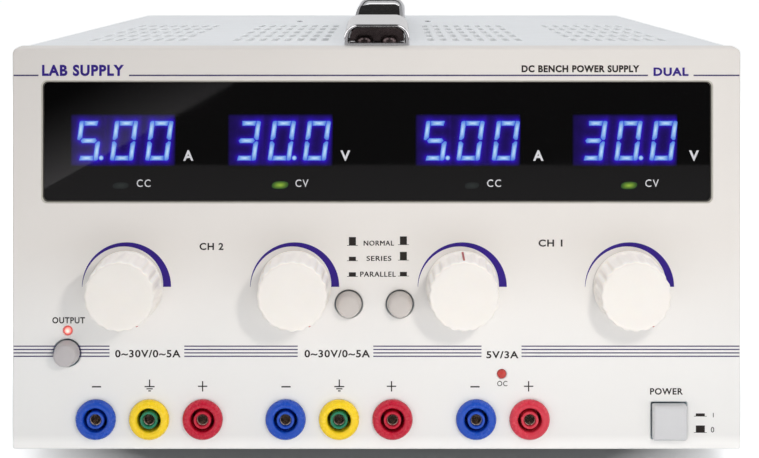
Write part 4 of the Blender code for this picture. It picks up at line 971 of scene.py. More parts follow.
# ---------------------------------------------------------------- sockets
def socket(nme, mat, inner_mat):
    lo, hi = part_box(nme)
    c = (lo + hi) / 2
    f = lo.y
    R = 7.2 * MM
    prof = [(4.2 * MM, YF + 12 * MM), (4.2 * MM, f + 1.1 * MM), (4.28 * MM, f + 0.75 * MM), (4.55 * MM, f + 0.35 * MM), (4.95 * MM, f + 0.1 * MM), (5.35 * MM, f + 0.02 * MM), (5.8 * MM, f + 0.1 * MM),
            (6.3 * MM, f + 0.32 * MM), (6.75 * MM, f + 0.7 * MM), (7.05 * MM, f + 1.2 * MM), (R, f + 1.75 * MM), (R, YF - 0.35 * MM), (7.1 * MM, YF - 0.2 * MM), (5.65 * MM, YF - 0.2 * MM), (5.65 * MM, YF + 19.5 * MM), (4.2 * MM, YF + 19.5 * MM)]
    add("jack_" + nme[7:], lathe(prof, 56, (c.x, 0, c.z), "Y", ring=True), mat, replaces=(nme,), smooth=40)
    fi = f + 0.85 * MM
    prof = [(2.1 * MM, YF + 13 * MM), (2.1 * MM, fi + 0.5 * MM), (2.25 * MM, fi + 0.12 * MM), (2.5 * MM, fi), (2.85 * MM, fi), (3.08 * MM, fi + 0.12 * MM), (3.14 * MM, fi + 0.4 * MM), (3.14 * MM, YF + 12.3 * MM), (4.15 * MM, YF + 12.3 * MM), (4.15 * MM, YF + 13 * MM)]
    add("jack_core_" + nme[7:], lathe(prof, 40, (c.x, 0, c.z), "Y", ring=True), inner_mat, smooth=40)
    # slotted metal contact inside the bore
    prof = [(1.6 * MM, YF - 0.35 * MM), (1.72 * MM, YF - 0.62 * MM), (1.9 * MM, YF - 0.72 * MM), (2.06 * MM, YF - 0.6 * MM), (2.06 * MM, YF + 19 * MM), (2.0 * MM, YF + 19.8 * MM), (2.0 * MM, hi.y), (0, hi.y), (0, YF + 6 * MM), (1.6 * MM, YF + 6 * MM)]
    bm = lathe(prof, 32, (c.x, 0, c.z), "Y", ring=False)
    ringp = lathe([(1.6 * MM, YF + 6 * MM), (1.6 * MM, YF - 0.35 * MM)], 32, (c.x, 0, c.z), "Y")
    add("jack_contact_" + nme[7:], merge(bm, ringp), M["nickel"], smooth=40)


for nme in sorted(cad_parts):
    if nme.startswith("socket_"):
        key = "blue" if "neg" in nme else "yellow" if "gnd" in nme else ("red2" if "aux" in nme else "red")
        socket(nme, M[key], M["green"] if key == "yellow" else M[key])


# ---------------------------------------------------------------- indicator lamps
for nme, mat, slot in (("led_output", M["led_on"], "led_lit"), ("led_overcurrent", M["led_off"], "led_dark")):
    lo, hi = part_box(nme)
    c = (lo + hi) / 2
    f, r = lo.y, 1.6 * MM
    prof = [(r * math.sin(math.radians(a)), f + 1.25 * MM * (1 - math.cos(math.radians(a)))) for a in range(0, 91, 10)] + [(r, hi.y), (0, hi.y)]
    bm = lathe(prof, 36, (c.x, 0, c.z), "Y")
    lay = bm.verts.layers.float.new("hot")
    for v in bm.verts:
        q = math.hypot(v.co.x - c.x - 0.2 * MM, v.co.z - c.z - 0.15 * MM) / r
        v[lay] = max(0.0, 1 - (q / 0.85) ** 2) if v.co.y < f + 1.3 * MM else 0.0
    add("lamp_" + nme[4:], bm, mat, replaces=(nme,), smooth=40)

# ---------------------------------------------------------------- cover with its slots
SL = dict(w=2.5 * MM, l=22 * MM)


def slot_groups():
    for gx in (-110.5 * MM, -54.8 * MM, 20.5 * MM, 76.2 * MM):
        for cc in range(8):
            for row in (58, 87.6, 117.2, 146.8, 176.4):
                yield gx + cc * 4.89 * MM, YF + row * MM


def cover():
    x1, ct = COVER[1].x, 1.2 * MM
    r = 2.4 * MM
    out, inn = [], []
    for i in range(9):
        a = math.radians(90 * i / 8)
        out.append((x1 - r + r * math.cos(a), COVER_TOP - r + r * math.sin(a)))
        ri = r - ct
        inn.append((x1 - r + ri * math.cos(a), COVER_TOP - r + ri * math.sin(a)))
    zl = COVER[0].z
    o = [(x1, zl)] + out + [(-x, z) for x, z in reversed(out)] + [(-x1, zl), (-x1 + ct, zl)] + [(-x, z) for x, z in inn] + [(x, z) for x, z in reversed(inn)] + [(x1 - ct, zl)]
    bm = prism(o, COVER[0].y, COVER[1].y)
    cutters = bmesh.new()
    for x, y in slot_groups():
        ring = rrect(x - SL["w"] / 2, x + SL["w"] / 2, y - SL["l"] / 2, y + SL["l"] / 2, SL["w"] / 2 - 1e-6, 4)
        levels = [(COVER_TOP - 4 * MM, 0.0), (COVER_TOP - 0.18 * MM, 0.0), (COVER_TOP, 0.16 * MM), (COVER_TOP + 2 * MM, 0.16 * MM)]
        vr = []
        for z, g in levels:
            vr.append([cutters.verts.new((x + (u - x) * (1 + g / (SL["w"] / 2)), y + (v - y) * (1 + g / (SL["l"] / 2)), z)) for u, v in ring])
        n = len(ring)
        for a, b in zip(vr, vr[1:]):
            for i in range(n):
                cutters.faces.new((a[i], a[(i + 1) % n], b[(i + 1) % n], b[i]))
        cutters.faces.new(vr[0])
        cutters.faces.new(vr[-1])
    bm = boolean(bm, cutters)
    bmesh.ops.recalc_face_normals(bm, faces=bm.faces)
    # painted light: the slot walls take the faintly glowing slot wall material
    for f in bm.faces:
        c = f.calc_center_median()
        f.material_index = 1 if abs(f.normal.z) < 0.9 and abs(c.x) < x1 - 4 * MM and c.z > COVER_TOP - 2 * MM and COVER[0].y + 3 * MM < c.y < COVER[1].y - 3 * MM else 0
    add("cover_shell", bm, [M["cover"], M["slot_wall"]], replaces=("top_cover",), smooth=28, weighted=True)


cover()
scr = []
for s in (-1, 1):
    for y in (YF + 34 * MM, YB - 34 * MM):
        scr.append(screw_bm(Vector((s * COVER[1].x, y, ZB + 12 * MM)), (s, 0, 0), 3.0 * MM, 1.6 * MM))
for x in (-40 * MM, 23 * MM):
    scr.append(screw_bm(Vector((x, YF + 225 * MM, COVER_TOP)), (0, 0, 1), 1.5 * MM, 0.5 * MM, cross=False, seg=20))
add("cover_screws", merge(*scr), M["screw"], smooth=35)

# ---------------------------------------------------------------- rear panel
lo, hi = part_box("rear_panel")
fc = mid("fan_frame")
ic = mid("mains_inlet")
il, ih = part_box("mains_inlet")
bm = box(lo.x, hi.x, lo.y, hi.y, lo.z, hi.z)
cuts = [lathe([(0, lo.y - 4 * MM), (37.5 * MM, lo.y - 4 * MM), (37.5 * MM, hi.y - 0.3 * MM), (37.8 * MM, hi.y), (37.8 * MM, hi.y + 2 * MM), (0, hi.y + 2 * MM)], 96, (fc.x, 0, fc.z), "Y")]
cuts.append(prism(rect(ic.x - 13.8 * MM, ic.x + 13.8 * MM, ic.z - 23.3 * MM, ic.z + 23.3 * MM), lo.y - 3 * MM, hi.y + 3 * MM))
bm = boolean(bm, merge(*cuts))
add("rear_plate", bm, M["rear"], replaces=("rear_panel",), smooth=30, weighted=True)
scr = []
for x, z in ((-118, 20), (-118, 130), (118, 20), (118, 130), (0, 148)):
    if x == 0:
        z = (hi.z - 6 * MM) / MM - ZB / MM
    scr.append(screw_bm(Vector((x * MM, YB, ZB + z * MM)), (0, 1, 0), 2.8 * MM, 1.5 * MM))
add("rear_screws", merge(*scr), M["screw"], smooth=35)


# ---------------------------------------------------------------- feet
for nme in [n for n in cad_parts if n.startswith("foot_")]:
    lo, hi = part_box(nme)
    c = (lo + hi) / 2
    t = hi.z
    prof = [(0, 6 * MM), (3.3 * MM, 6 * MM), (3.5 * MM, 5.7 * MM), (3.5 * MM, 0.3 * MM), (3.8 * MM, 0), (8.0 * MM, 0), (8.6 * MM, 0.25 * MM), (8.95 * MM, 0.8 * MM), (9.2 * MM, 1.6 * MM),
            (10.3 * MM, t - 1.2 * MM), (10.4 * MM, t - 0.5 * MM), (10.2 * MM, t), (0, t)]
    ob = add("rest_" + nme, lathe(prof, 48, (c.x, c.y, 0), "Z"), M["rubber"], replaces=(nme,), smooth=35)
scr = [screw_bm(Vector((mid(n).x, mid(n).y, 5.98 * MM)), (0, 0, -1), 2.7 * MM, 1.5 * MM) for n in sorted(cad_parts) if n.startswith("foot_")]
add("foot_screws", merge(*scr), M["screw"], smooth=35)


# ---------------------------------------------------------------- handle
def cap_outline(w, z0, z1, r, n=10, base_flare=0.0):
    pts = [(w / 2 + base_flare, z0), (w / 2, z0 + 1.0 * MM)]
    for i in range(n + 1):
        a = math.radians(90 * i / n)
        pts.append((w / 2 - r + r * math.cos(a), z1 - r + r * math.sin(a)))
    return pts + [(-x, z) for x, z in reversed(pts)]


def handle_cap(nme, sign):
    lo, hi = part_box(nme)
    z0 = lo.z
    y_out, y_in = (lo.y, hi.y) if sign > 0 else (hi.y, lo.y)       # far end and strap end
    L = abs(y_in - y_out)
    top0, top1 = lo.z + 7.5 * MM, hi.z
    W = 24.0 * MM
    rings = []
    for t, d in ((0.0, 0.9), (0.006, 0.45), (0.02, 0.15), (0.045, 0.0), (0.25, 0.0), (0.5, 0.0), (0.75, 0.0), (0.97, 0.0), (0.99, 0.05), (0.997, 0.12), (1.0, 0.2)):
        y = y_out + (y_in - y_out) * t
        z1 = top0 + (top1 - top0) * t
        rings.append([(x, y, z) for x, z in cap_outline(W - 2 * d * 0.6 * MM, z0, z1 - d * 0.6 * MM, 5.2 * MM, 10)])
    bm = loft(rings)
    rings = []
    for t, g in ((-0.04, 0.9), (0.0, 0.75), (0.012, 0.3), (0.03, 0.05), (0.06, 0.0), (0.94, 0.0), (0.97, 0.05), (0.988, 0.3), (1.0, 0.75), (1.04, 0.9)):
        y = y_out + (y_in - y_out) * t
        z1 = top0 + (top1 - top0) * t
        rings.append([(x, y, z) for x, z in cap_outline(20.5 * MM + 2 * g * 0.5 * MM, z0 + 1.0 * MM - g * 0.2 * MM, z1 - 1.05 * MM + g * 0.5 * MM, 3.9 * MM + g * 0.4 * MM, 10)])
    bm = boolean(bm, loft(rings))
    bmesh.ops.recalc_face_normals(bm, faces=bm.faces)
    for f in bm.faces:                               # the cut edge of the metal isn't polished: a satin finish with a faint painted glow that brightens it
        if abs(f.calc_center_median().y - y_in) < 0.7 * MM and abs(f.normal.y) > 0.3:
            f.material_index = 1
    add(nme.replace("handle_cap", "cap_shell"), bm, [M["chrome"], M["sheared"]], replaces=(nme,), smooth=38, weighted=True)
    # inner bracket with its two fixing screws, seen through the open end; both take the darkened chrome, painted shade
    # inside the cap
    yb = y_out + sign * 7.5 * MM
    ymin, ymax = sorted((yb, yb + sign * 1.0 * MM))
    pl = prism(cap_outline(19.9 * MM, z0 + 1.15 * MM, top0 - 1.4 * MM, 3.6 * MM, 8), ymin, ymax)
    pl = boolean(pl, box(-10.4 * MM, 10.4 * MM, ymin - 1 * MM, ymax + 1 * MM, z0 + 1.1 * MM, z0 + 1.16 * MM))
    add(nme.replace("handle_cap", "cap_inner"), pl, M["chrome_dark"], smooth=30)
    s = []
    for x in (-4.6 * MM, 4.6 * MM):
        s.append(screw_bm(Vector((x, y_out + sign * 4.2 * MM, z0 + 1.05 * MM)), (0, 0, 1), 3.3 * MM, 2.3 * MM, seg=32))
    add(nme.replace("handle_cap", "cap_screws"), merge(*s), M["chrome_dark"], smooth=35)


handle_cap("handle_cap_front", 1)
handle_cap("handle_cap_rear", -1)

gl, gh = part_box("strap_grip")
MIDY = (gl.y + gh.y) / 2
RISE = 2.0 * MM
SZ = (gl.z + gh.z - RISE) / 2                       # height of the hinge lines
PIV = gl.y - 0.8 * MM
fl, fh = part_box("strap_front")
SW, ST = (gh.x - gl.x) / 2, (gh.z - gl.z - RISE) / 2


def strap_half(name, mirror, body_end):
    """Half the strap: straight over the grip, then sloping down into its cap."""
    run = PIV - fl.y
    drop = (SZ - (fl.z + ST))
    slope = math.atan2(drop, run)
    prof = []
    # cross-section (x, z): padded top, thin edges with a raised welt
    w, t = SW, ST
    top = [(w - 0.05 * MM, 0.0), (w - 0.0 * MM, 0.35 * t), (w - 0.25 * MM, 0.62 * t), (w - 0.75 * MM, 0.74 * t), (w - 1.3 * MM, 0.66 * t), (w - 1.7 * MM, 0.58 * t), (w - 2.2 * MM, 0.70 * t),
           (w - 3.6 * MM, 0.88 * t), (w - 6.0 * MM, 0.97 * t), (0.0, 1.0 * t)]
    top = top + [(-x, z) for x, z in reversed(top[:-1])]
    botm = [(-x, -0.86 * z) for x, z in top[1:-1]]
    sec = top + botm
    ys = [MIDY + (PIV + 12 * MM - MIDY) * k / 14 for k in range(15)]
    path = [(y, None, 2 * RISE * (MIDY - y) / (MIDY - PIV) ** 2) for y in ys]
    a_in = path[-1][2]
    for k in range(1, 13):                                   # a soft bend at the hinge line
        u = k / 12
        y = PIV + 12 * MM - 24 * MM * u
        a = a_in + (slope - a_in) * (u * u * (3 - 2 * u))
        path.append((y, None, a))
    yend = fl.y + 0.2 * MM
    n2 = 16
    y0 = PIV - 12 * MM
    for k in range(1, n2 + 1):
        path.append((y0 + (yend - y0) * k / n2, None, slope))
    rings = []
    z = SZ + RISE
    yp = path[0][0]
    ap = 0.0
    for y, zz, a in path:
        z -= (yp - y) * math.tan((a + ap) / 2)
        rings.append([(x, y - q * math.sin(a) * 1.0, z + q * math.cos(a)) for x, q in sec])
        yp, ap = y, a
    # keep the end height where the hinge geometry puts it
    zerr = (fl.z + ST * math.cos(slope)) - z
    m = len(rings)
    first = 15
    rings = [[(x, yy, q + (zerr * (i - first) / (m - 1 - first) if i > first else 0)) for x, yy, q in r] for i, r in enumerate(rings)]
    bm = loft(rings, cap=(False, True))
    if mirror:
        bmesh.ops.scale(bm, vec=(1, -1, 1), verts=bm.verts)
        bmesh.ops.translate(bm, verts=bm.verts, vec=(0, 2 * MIDY, 0))
    bmesh.ops.recalc_face_normals(bm, faces=bm.faces)
    # the welt faces along the strap edges take the lighter grey, a painted highlight
    for f in bm.faces:
        cx = abs(f.calc_center_median().x)
        f.material_index = 1 if cx > SW - 1.45 * MM and abs(f.normal.y) < 0.7 else 0
    nodes_r = ("strap_rear",) if mirror else ("strap_front", "strap_grip")
    ob = add(name, bm, [M["strap"], M["piping"]], replaces=nodes_r, smooth=50, ride=False)
    p = 2 * MIDY - PIV if mirror else PIV
    s = -1 if mirror else 1
    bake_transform(ob, "grip", body_end, start=(0, p + s * 12 * MM, SZ), end=(0, p - s * 12 * MM, SZ))
    return ob


strap_half("strap_half_front", False, "strap_end_front")
strap_half("strap_half_rear", True, "strap_end_rear")

# ---------------------------------------------------------------- fan, guard, inlet
lo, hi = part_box("fan_frame")
c = (lo + hi) / 2
s = 40 * MM
bm = prism(rrect(c.x - s, c.x + s, c.z - s, c.z + s, 4.5 * MM, 8), lo.y, hi.y)
cuts = [lathe([(0, lo.y - 3 * MM), (39.2 * MM, lo.y - 3 * MM), (39.2 * MM, lo.y), (38 * MM, lo.y + 2.5 * MM), (38 * MM, hi.y - 2.5 * MM), (39.2 * MM, hi.y), (39.2 * MM, hi.y + 3 * MM), (0, hi.y + 3 * MM)], 96, (c.x, 0, c.z), "Y")]
for sx in (-1, 1):
    for sz in (-1, 1):
        cuts.append(lathe([(0, lo.y - 3 * MM), (2.2 * MM, lo.y - 3 * MM), (2.2 * MM, hi.y + 3 * MM), (0, hi.y + 3 * MM)], 20, (c.x + sx * 35.75 * MM, 0, c.z + sz * 35.75 * MM), "Y"))
bm = boolean(bm, merge(*cuts))
struts = box(c.x - 2 * MM, c.x + 2 * MM, lo.y, lo.y + 2.5 * MM, c.z - 38.8 * MM, c.z + 38.8 * MM)
struts = boolean(struts, box(c.x - 38.8 * MM, c.x + 38.8 * MM, lo.y, lo.y + 2.4 * MM, c.z - 2 * MM, c.z + 2 * MM), "UNION")
struts = boolean(struts, lathe([(0, lo.y + 0.05 * MM), (16 * MM, lo.y + 0.05 * MM), (16 * MM, lo.y + 2.9 * MM), (0, lo.y + 2.9 * MM)], 48, (c.x, 0, c.z), "Y"), "UNION")
add("fan_housing", boolean(bm, struts, "UNION"), M["black"], replaces=("fan_frame",), smooth=30, weighted=True)

lo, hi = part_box("fan_rotor")
fx, fz = mid("fan_frame").x, mid("fan_frame").z
y0, y1 = lo.y, hi.y
hub = lathe([(0, y0), (15.2 * MM, y0), (15.5 * MM, y0 + 0.4 * MM), (15.5 * MM, y1 - 1.2 * MM), (15.2 * MM, y1 - 0.5 * MM), (14.3 * MM, y1), (0, y1)], 60, (fx, 0, fz), "Y")
blades = []
for k in range(7):
    rings = []
    for j in range(9):
        t = j / 8
        r = (14.8 + (36.4 - 14.8) * t) * MM
        pitch = math.radians(46 - 20 * t)
        chord = (17 + 5 * t) * MM
        th = (1.5 - 0.7 * t) * MM
        sweep = math.radians(2 * math.pi and 10 * t * t)
        sec = []
        for u, w in ((-0.5, 0.02), (-0.42, 0.32), (-0.2, 0.5), (0.1, 0.48), (0.35, 0.3), (0.5, 0.0), (0.35, -0.22), (0.1, -0.36), (-0.2, -0.38), (-0.42, -0.25)):
            camber = 0.09 * chord * (1 - 4 * u * u)
            a_ = u * chord
            b_ = w * th + camber
            along = a_ * math.cos(pitch) - b_ * math.sin(pitch)
            ax = a_ * math.sin(pitch) + b_ * math.cos(pitch)
            ang = along / r + sweep + 2 * math.pi * k / 7
            yy = (y0 + y1) / 2 + max(-6.9 * MM, min(6.9 * MM, ax))
            sec.append((fx + r * math.sin(ang), yy, fz + r * math.cos(ang)))
        rings.append(sec)
    blades.append(loft(rings))
add("fan_impeller", merge(hub, *blades), M["black"], body="fan", replaces=("fan_rotor",), smooth=40)
add("fan_hub_disc", lathe([(0, y1 + 0.05 * MM), (11 * MM, y1 + 0.05 * MM), (11 * MM, y1 - 0.1 * MM), (0, y1 - 0.1 * MM)], 48, (fx, 0, fz), "Y"),
    surface("hub_disc_mat", (150, 152, 156), 0.35, metal=0.7, grain=900, grain_h=0.00001, blotch=200, blotch_amt=0.1), body="fan", smooth=30)


def torus(c, R, r, n=96, m=12):
    return lathe([(R + r * math.cos(2 * math.pi * k / m), r * math.sin(2 * math.pi * k / m)) for k in range(m)], n, c, "Y", ring=True)


def tube(pts, r, m=10):
    """Round wire along points."""
    pts = [Vector(p) for p in pts]
    rings = []
    up = Vector((0, 1, 0))
    for i, p in enumerate(pts):
        d = (pts[min(i + 1, len(pts) - 1)] - pts[max(i - 1, 0)]).normalized()
        a = d.cross(up)
        if a.length < 1e-3:
            a = d.cross(Vector((1, 0, 0)))
        a.normalize()
        b = d.cross(a).normalized()
        rings.append([tuple(p + a * r * math.cos(2 * math.pi * k / m) + b * r * math.sin(2 * math.pi * k / m)) for k in range(m)])
    return loft(rings)


lo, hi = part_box("fan_guard")
yw1 = hi.y - 0.8 * MM
parts = [torus((fx, yw1, fz), R * MM, 0.75 * MM) for R in (11, 19.5, 28, 37)]
yw0 = yw1 - 1.45 * MM
ears = []
for ang in (45, 135, 225, 315):
    d = Vector((math.sin(math.radians(ang)), 0, math.cos(math.radians(ang))))
    c0 = Vector((fx, yw0, fz))
    rr_ = 50.56 * MM
    parts.append(tube([c0 + d * 8 * MM, c0 + d * 20 * MM, c0 + d * 36 * MM, c0 + d * (rr_ - 4.2 * MM)], 0.7 * MM))
    eye = torus((fx + d.x * rr_, yw0, fz + d.z * rr_), 3.6 * MM, 0.7 * MM, 40, 10)
    parts.append(eye)
    ears.append(Vector((fx + d.x * rr_, YB + 0.0 * MM, fz + d.z * rr_)))
add("guard_wires", merge(*parts), M["chrome"], replaces=("fan_guard",), smooth=50)
add("guard_screws", merge(*[screw_bm(e, (0, 1, 0), 3.0 * MM, 2.2 * MM) for e in ears]), M["screw_black"], smooth=35)

ilo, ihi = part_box("mains_inlet")
c = (ilo + ihi) / 2
fy = YB + 0.2 * MM
lv = [(fy, 0.0), (YB + 1.9 * MM, 0.0), (YB + 2.35 * MM, 0.15), (YB + 2.6 * MM, 0.5)]
bm = loft([[(x, y, z) for x, z in rrect(c.x - 16 * MM + o * MM, c.x + 16 * MM - o * MM, c.z - 25.5 * MM + o * MM, c.z + 25.5 * MM - o * MM, 3 * MM, 6)] for y, o in lv])
bm = boolean(bm, box(c.x - 13.5 * MM, c.x + 13.5 * MM, ilo.y, YB + 1.0 * MM, c.z - 23 * MM, c.z + 23 * MM), "UNION")
zc = c.z - 8 * MM


def inlet_outline(g):
    a = 12 * MM + g
    b = 8.2 * MM + g
    return [(c.x - a, zc - b), (c.x + a, zc - b), (c.x + a, zc + 4 * MM), (c.x + 7.8 * MM, zc + b), (c.x - 7.8 * MM, zc + b), (c.x - a, zc + 4 * MM)]


bm = boolean(bm, loft([[(x, y, z) for x, z in inlet_outline(g)] for y, g in ((YB - 15 * MM, 0.0), (YB + 1.9 * MM, 0.0), (YB + 2.6 * MM, 0.6 * MM), (YB + 5 * MM, 0.6 * MM))]))
dl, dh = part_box("fuse_drawer")
bm = boolean(bm, box(dl.x - 0.4 * MM, dh.x + 0.4 * MM, YB - 26 * MM, YB + 6 * MM, dl.z - 0.4 * MM, dh.z + 0.4 * MM))
add("inlet_body", bm, M["black"], replaces=("mains_inlet",), smooth=30, weighted=True)
pins = []
for dx, dz in ((-7 * MM, -1.5 * MM), (7 * MM, -1.5 * MM), (0, 2.6 * MM)):
    y_tip = YB - 1.0 * MM
    w, h = 1.0 * MM, 2.0 * MM
    rings = [[(c.x + dx + sx * w, y, zc + dz + sz * h) for sx, sz in ((-1, -1), (1, -1), (1, 1), (-1, 1))] for y, w, h in ((YB - 15 * MM, w, h), (y_tip - 1.2 * MM, w, h), (y_tip, w * 0.55, h * 0.6))]
    pins.append(loft(rings))
add("inlet_pins", merge(*pins), M["nickel"], smooth=30)
add("inlet_screws", merge(*[screw_bm(Vector((c.x + sx * 0, YB + 2.5 * MM, c.z + sz * 23.6 * MM)), (0, 1, 0), 1.2 * MM, 0.4 * MM, cross=False, seg=16) for sx, sz in ((0, -1), (0, 1))]), M["screw"], smooth=35)
bm = prism(rrect(dl.x, dh.x, dl.z, dh.z, 0.8 * MM, 4), dl.y, dh.y)
bm = boolean(bm, box(dl.x + 1.6 * MM, dh.x - 1.6 * MM, YB - 23 * MM, YB - 3 * MM, dl.z + 1.6 * MM, dh.z + 3 * MM))
notch = prism([(mid("fuse_drawer").x - 4 * MM, dh.z - 1.6 * MM), (mid("fuse_drawer").x + 4 * MM, dh.z - 1.6 * MM), (mid("fuse_drawer").x + 4 * MM, dh.z + 2 * MM), (mid("fuse_drawer").x - 4 * MM, dh.z + 2 * MM)], YB + 1.2 * MM, YB + 6 * MM)
bm = boolean(bm, notch)
add("fuse_tray", bm, surface("drawer_mat", (34, 34, 37), 0.36, spec=0.5, grain=1800, grain_h=0.00002, blotch=80, blotch_amt=0.15, edge=0.4, edge_col=(86, 86, 90), edge_r=0.0003),
    body="drawer", replaces=("fuse_drawer",), smooth=30, weighted=True)
fus = mid("fuse_drawer")
fz_ = dl.z + 1.7 * MM + 2.5 * MM
ends = []
for a, b in ((YB - 22.4 * MM, YB - 17.4 * MM), (YB - 8.6 * MM, YB - 3.6 * MM)):
    ends.append(lathe([(0, a), (2.4 * MM, a), (2.5 * MM, a + 0.3 * MM), (2.5 * MM, b - 0.3 * MM), (2.4 * MM, b), (0, b)], 24, (fus.x, 0, fz_), "Y"))
add("fuse_caps", merge(*ends), M["nickel"], body="drawer", smooth=35)
add("fuse_tube", lathe([(0, YB - 17.3 * MM), (2.25 * MM, YB - 17.3 * MM), (2.25 * MM, YB - 8.7 * MM), (0, YB - 8.7 * MM)], 24, (fus.x, 0, fz_), "Y"),
    surface("fuse_mat", (214, 216, 210), 0.2, spec=0.6, grain=800, grain_h=0.00001), body="drawer", smooth=35)

# ---------------------------------------------------------------- inside: materials for the parts seen through the slots
INNER = {"chassis_base": "steel", "display_board": "pcb", "main_board": "pcb", "transformer_core": "core", "transformer_coil": "coil", "capacitor_1": "sleeve",
         "capacitor_2": "sleeve", "heat_sink": "alu", "switch_output": "black", "switch_track_left": "black", "switch_track_right": "black", "switch_power": "black"}
for nme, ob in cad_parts.items():
    key = INNER.get(nme) or ("alu" if nme.startswith("pot_") else None)
    if key and not ob.hide_render:
        ob.data.materials.clear()
        ob.data.materials.append(M[key])

# small parts of the regulator board and its wiring
lo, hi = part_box("main_board")
tz = hi.z
bits = []
rng = np.random.default_rng(7)
for k in range(22):
    x, y = lo.x + 8 * MM + rng.random() * (hi.x - lo.x - 16 * MM), lo.y + 6 * MM + rng.random() * 52 * MM
    w, d, h = 2 * MM + rng.random() * 4 * MM, 2 * MM + rng.random() * 5 * MM, 2 * MM + rng.random() * 6 * MM
    bits.append(box(x - w / 2, x + w / 2, y - d / 2, y + d / 2, tz, tz + h))
add("board_parts", merge(*bits), M["black"], smooth=None)
bits = []
for k in range(9):
    x, y = lo.x + 12 * MM + k * 12.5 * MM, lo.y + 70 * MM + (k % 3) * 3 * MM
    bits.append(lathe([(0, tz), (3 * MM, tz), (3 * MM, tz + 10 * MM), (2.6 * MM, tz + 11 * MM), (0, tz + 11 * MM)], 20, (x, y, 0), "Z"))
add("board_capacitors", merge(*bits), M["sleeve"], smooth=40)
hl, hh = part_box("heat_sink")
bits = [box(hh.x + 0.05 * MM, hh.x + 4.6 * MM, y - 7.5 * MM, y + 7.5 * MM, hl.z + 52 * MM, hl.z + 72 * MM) for y in (hl.y + 14 * MM, hl.y + 38 * MM, hl.y + 62 * MM)]
add("power_transistors", merge(*bits), M["black"], smooth=None)


def wire(name, pts, r, colour, body="case"):
    P0 = [Vector(p) for p in pts]
    out = []
    n = 10
    for i in range(len(P0) - 1):
        a, b = P0[max(i - 1, 0)], P0[i]
        c_, d = P0[i + 1], P0[min(i + 2, len(P0) - 1)]
        for k in range(n):
            t = k / n
            out.append(0.5 * ((2 * b) + (-a + c_) * t + (2 * a - 5 * b + 4 * c_ - d) * t * t + (-a + 3 * b - 3 * c_ + d) * t ** 3))
    out.append(P0[-1])
    add(name, tube(out, r, 8), surface(name + "_mat", colour, 0.45, grain=900, grain_h=0.00001), smooth=50)


tl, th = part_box("transformer_coil")
wire("wire_red", [(tl.x + 8 * MM, tl.y + 2 * MM, th.z + 1.2 * MM), (tl.x + 2 * MM, tl.y - 14 * MM, th.z + 8 * MM), (lo.x + 70 * MM, lo.y + 90 * MM, tz + 40 * MM), (lo.x + 60 * MM, lo.y + 62 * MM, tz + 2 * MM)], 0.9 * MM, (190, 30, 34))
wire("wire_blue", [(tl.x + 14 * MM, tl.y + 2 * MM, th.z + 1.2 * MM), (tl.x + 6 * MM, tl.y - 18 * MM, th.z + 4 * MM), (lo.x + 80 * MM, lo.y + 84 * MM, tz + 32 * MM), (lo.x + 68 * MM, lo.y + 60 * MM, tz + 2 * MM)], 0.9 * MM, (36, 66, 170))
wire("wire_brown", [(ic.x - 4 * MM, ilo.y - 0.5 * MM, ic.z), (ic.x - 6 * MM, ilo.y - 14 * MM, ic.z + 20 * MM), (tl.x + 40 * MM, th.y + 2 * MM, th.z + 6 * MM), (tl.x + 34 * MM, th.y - 3 * MM, th.z + 1.0 * MM)], 1.1 * MM, (110, 62, 32))


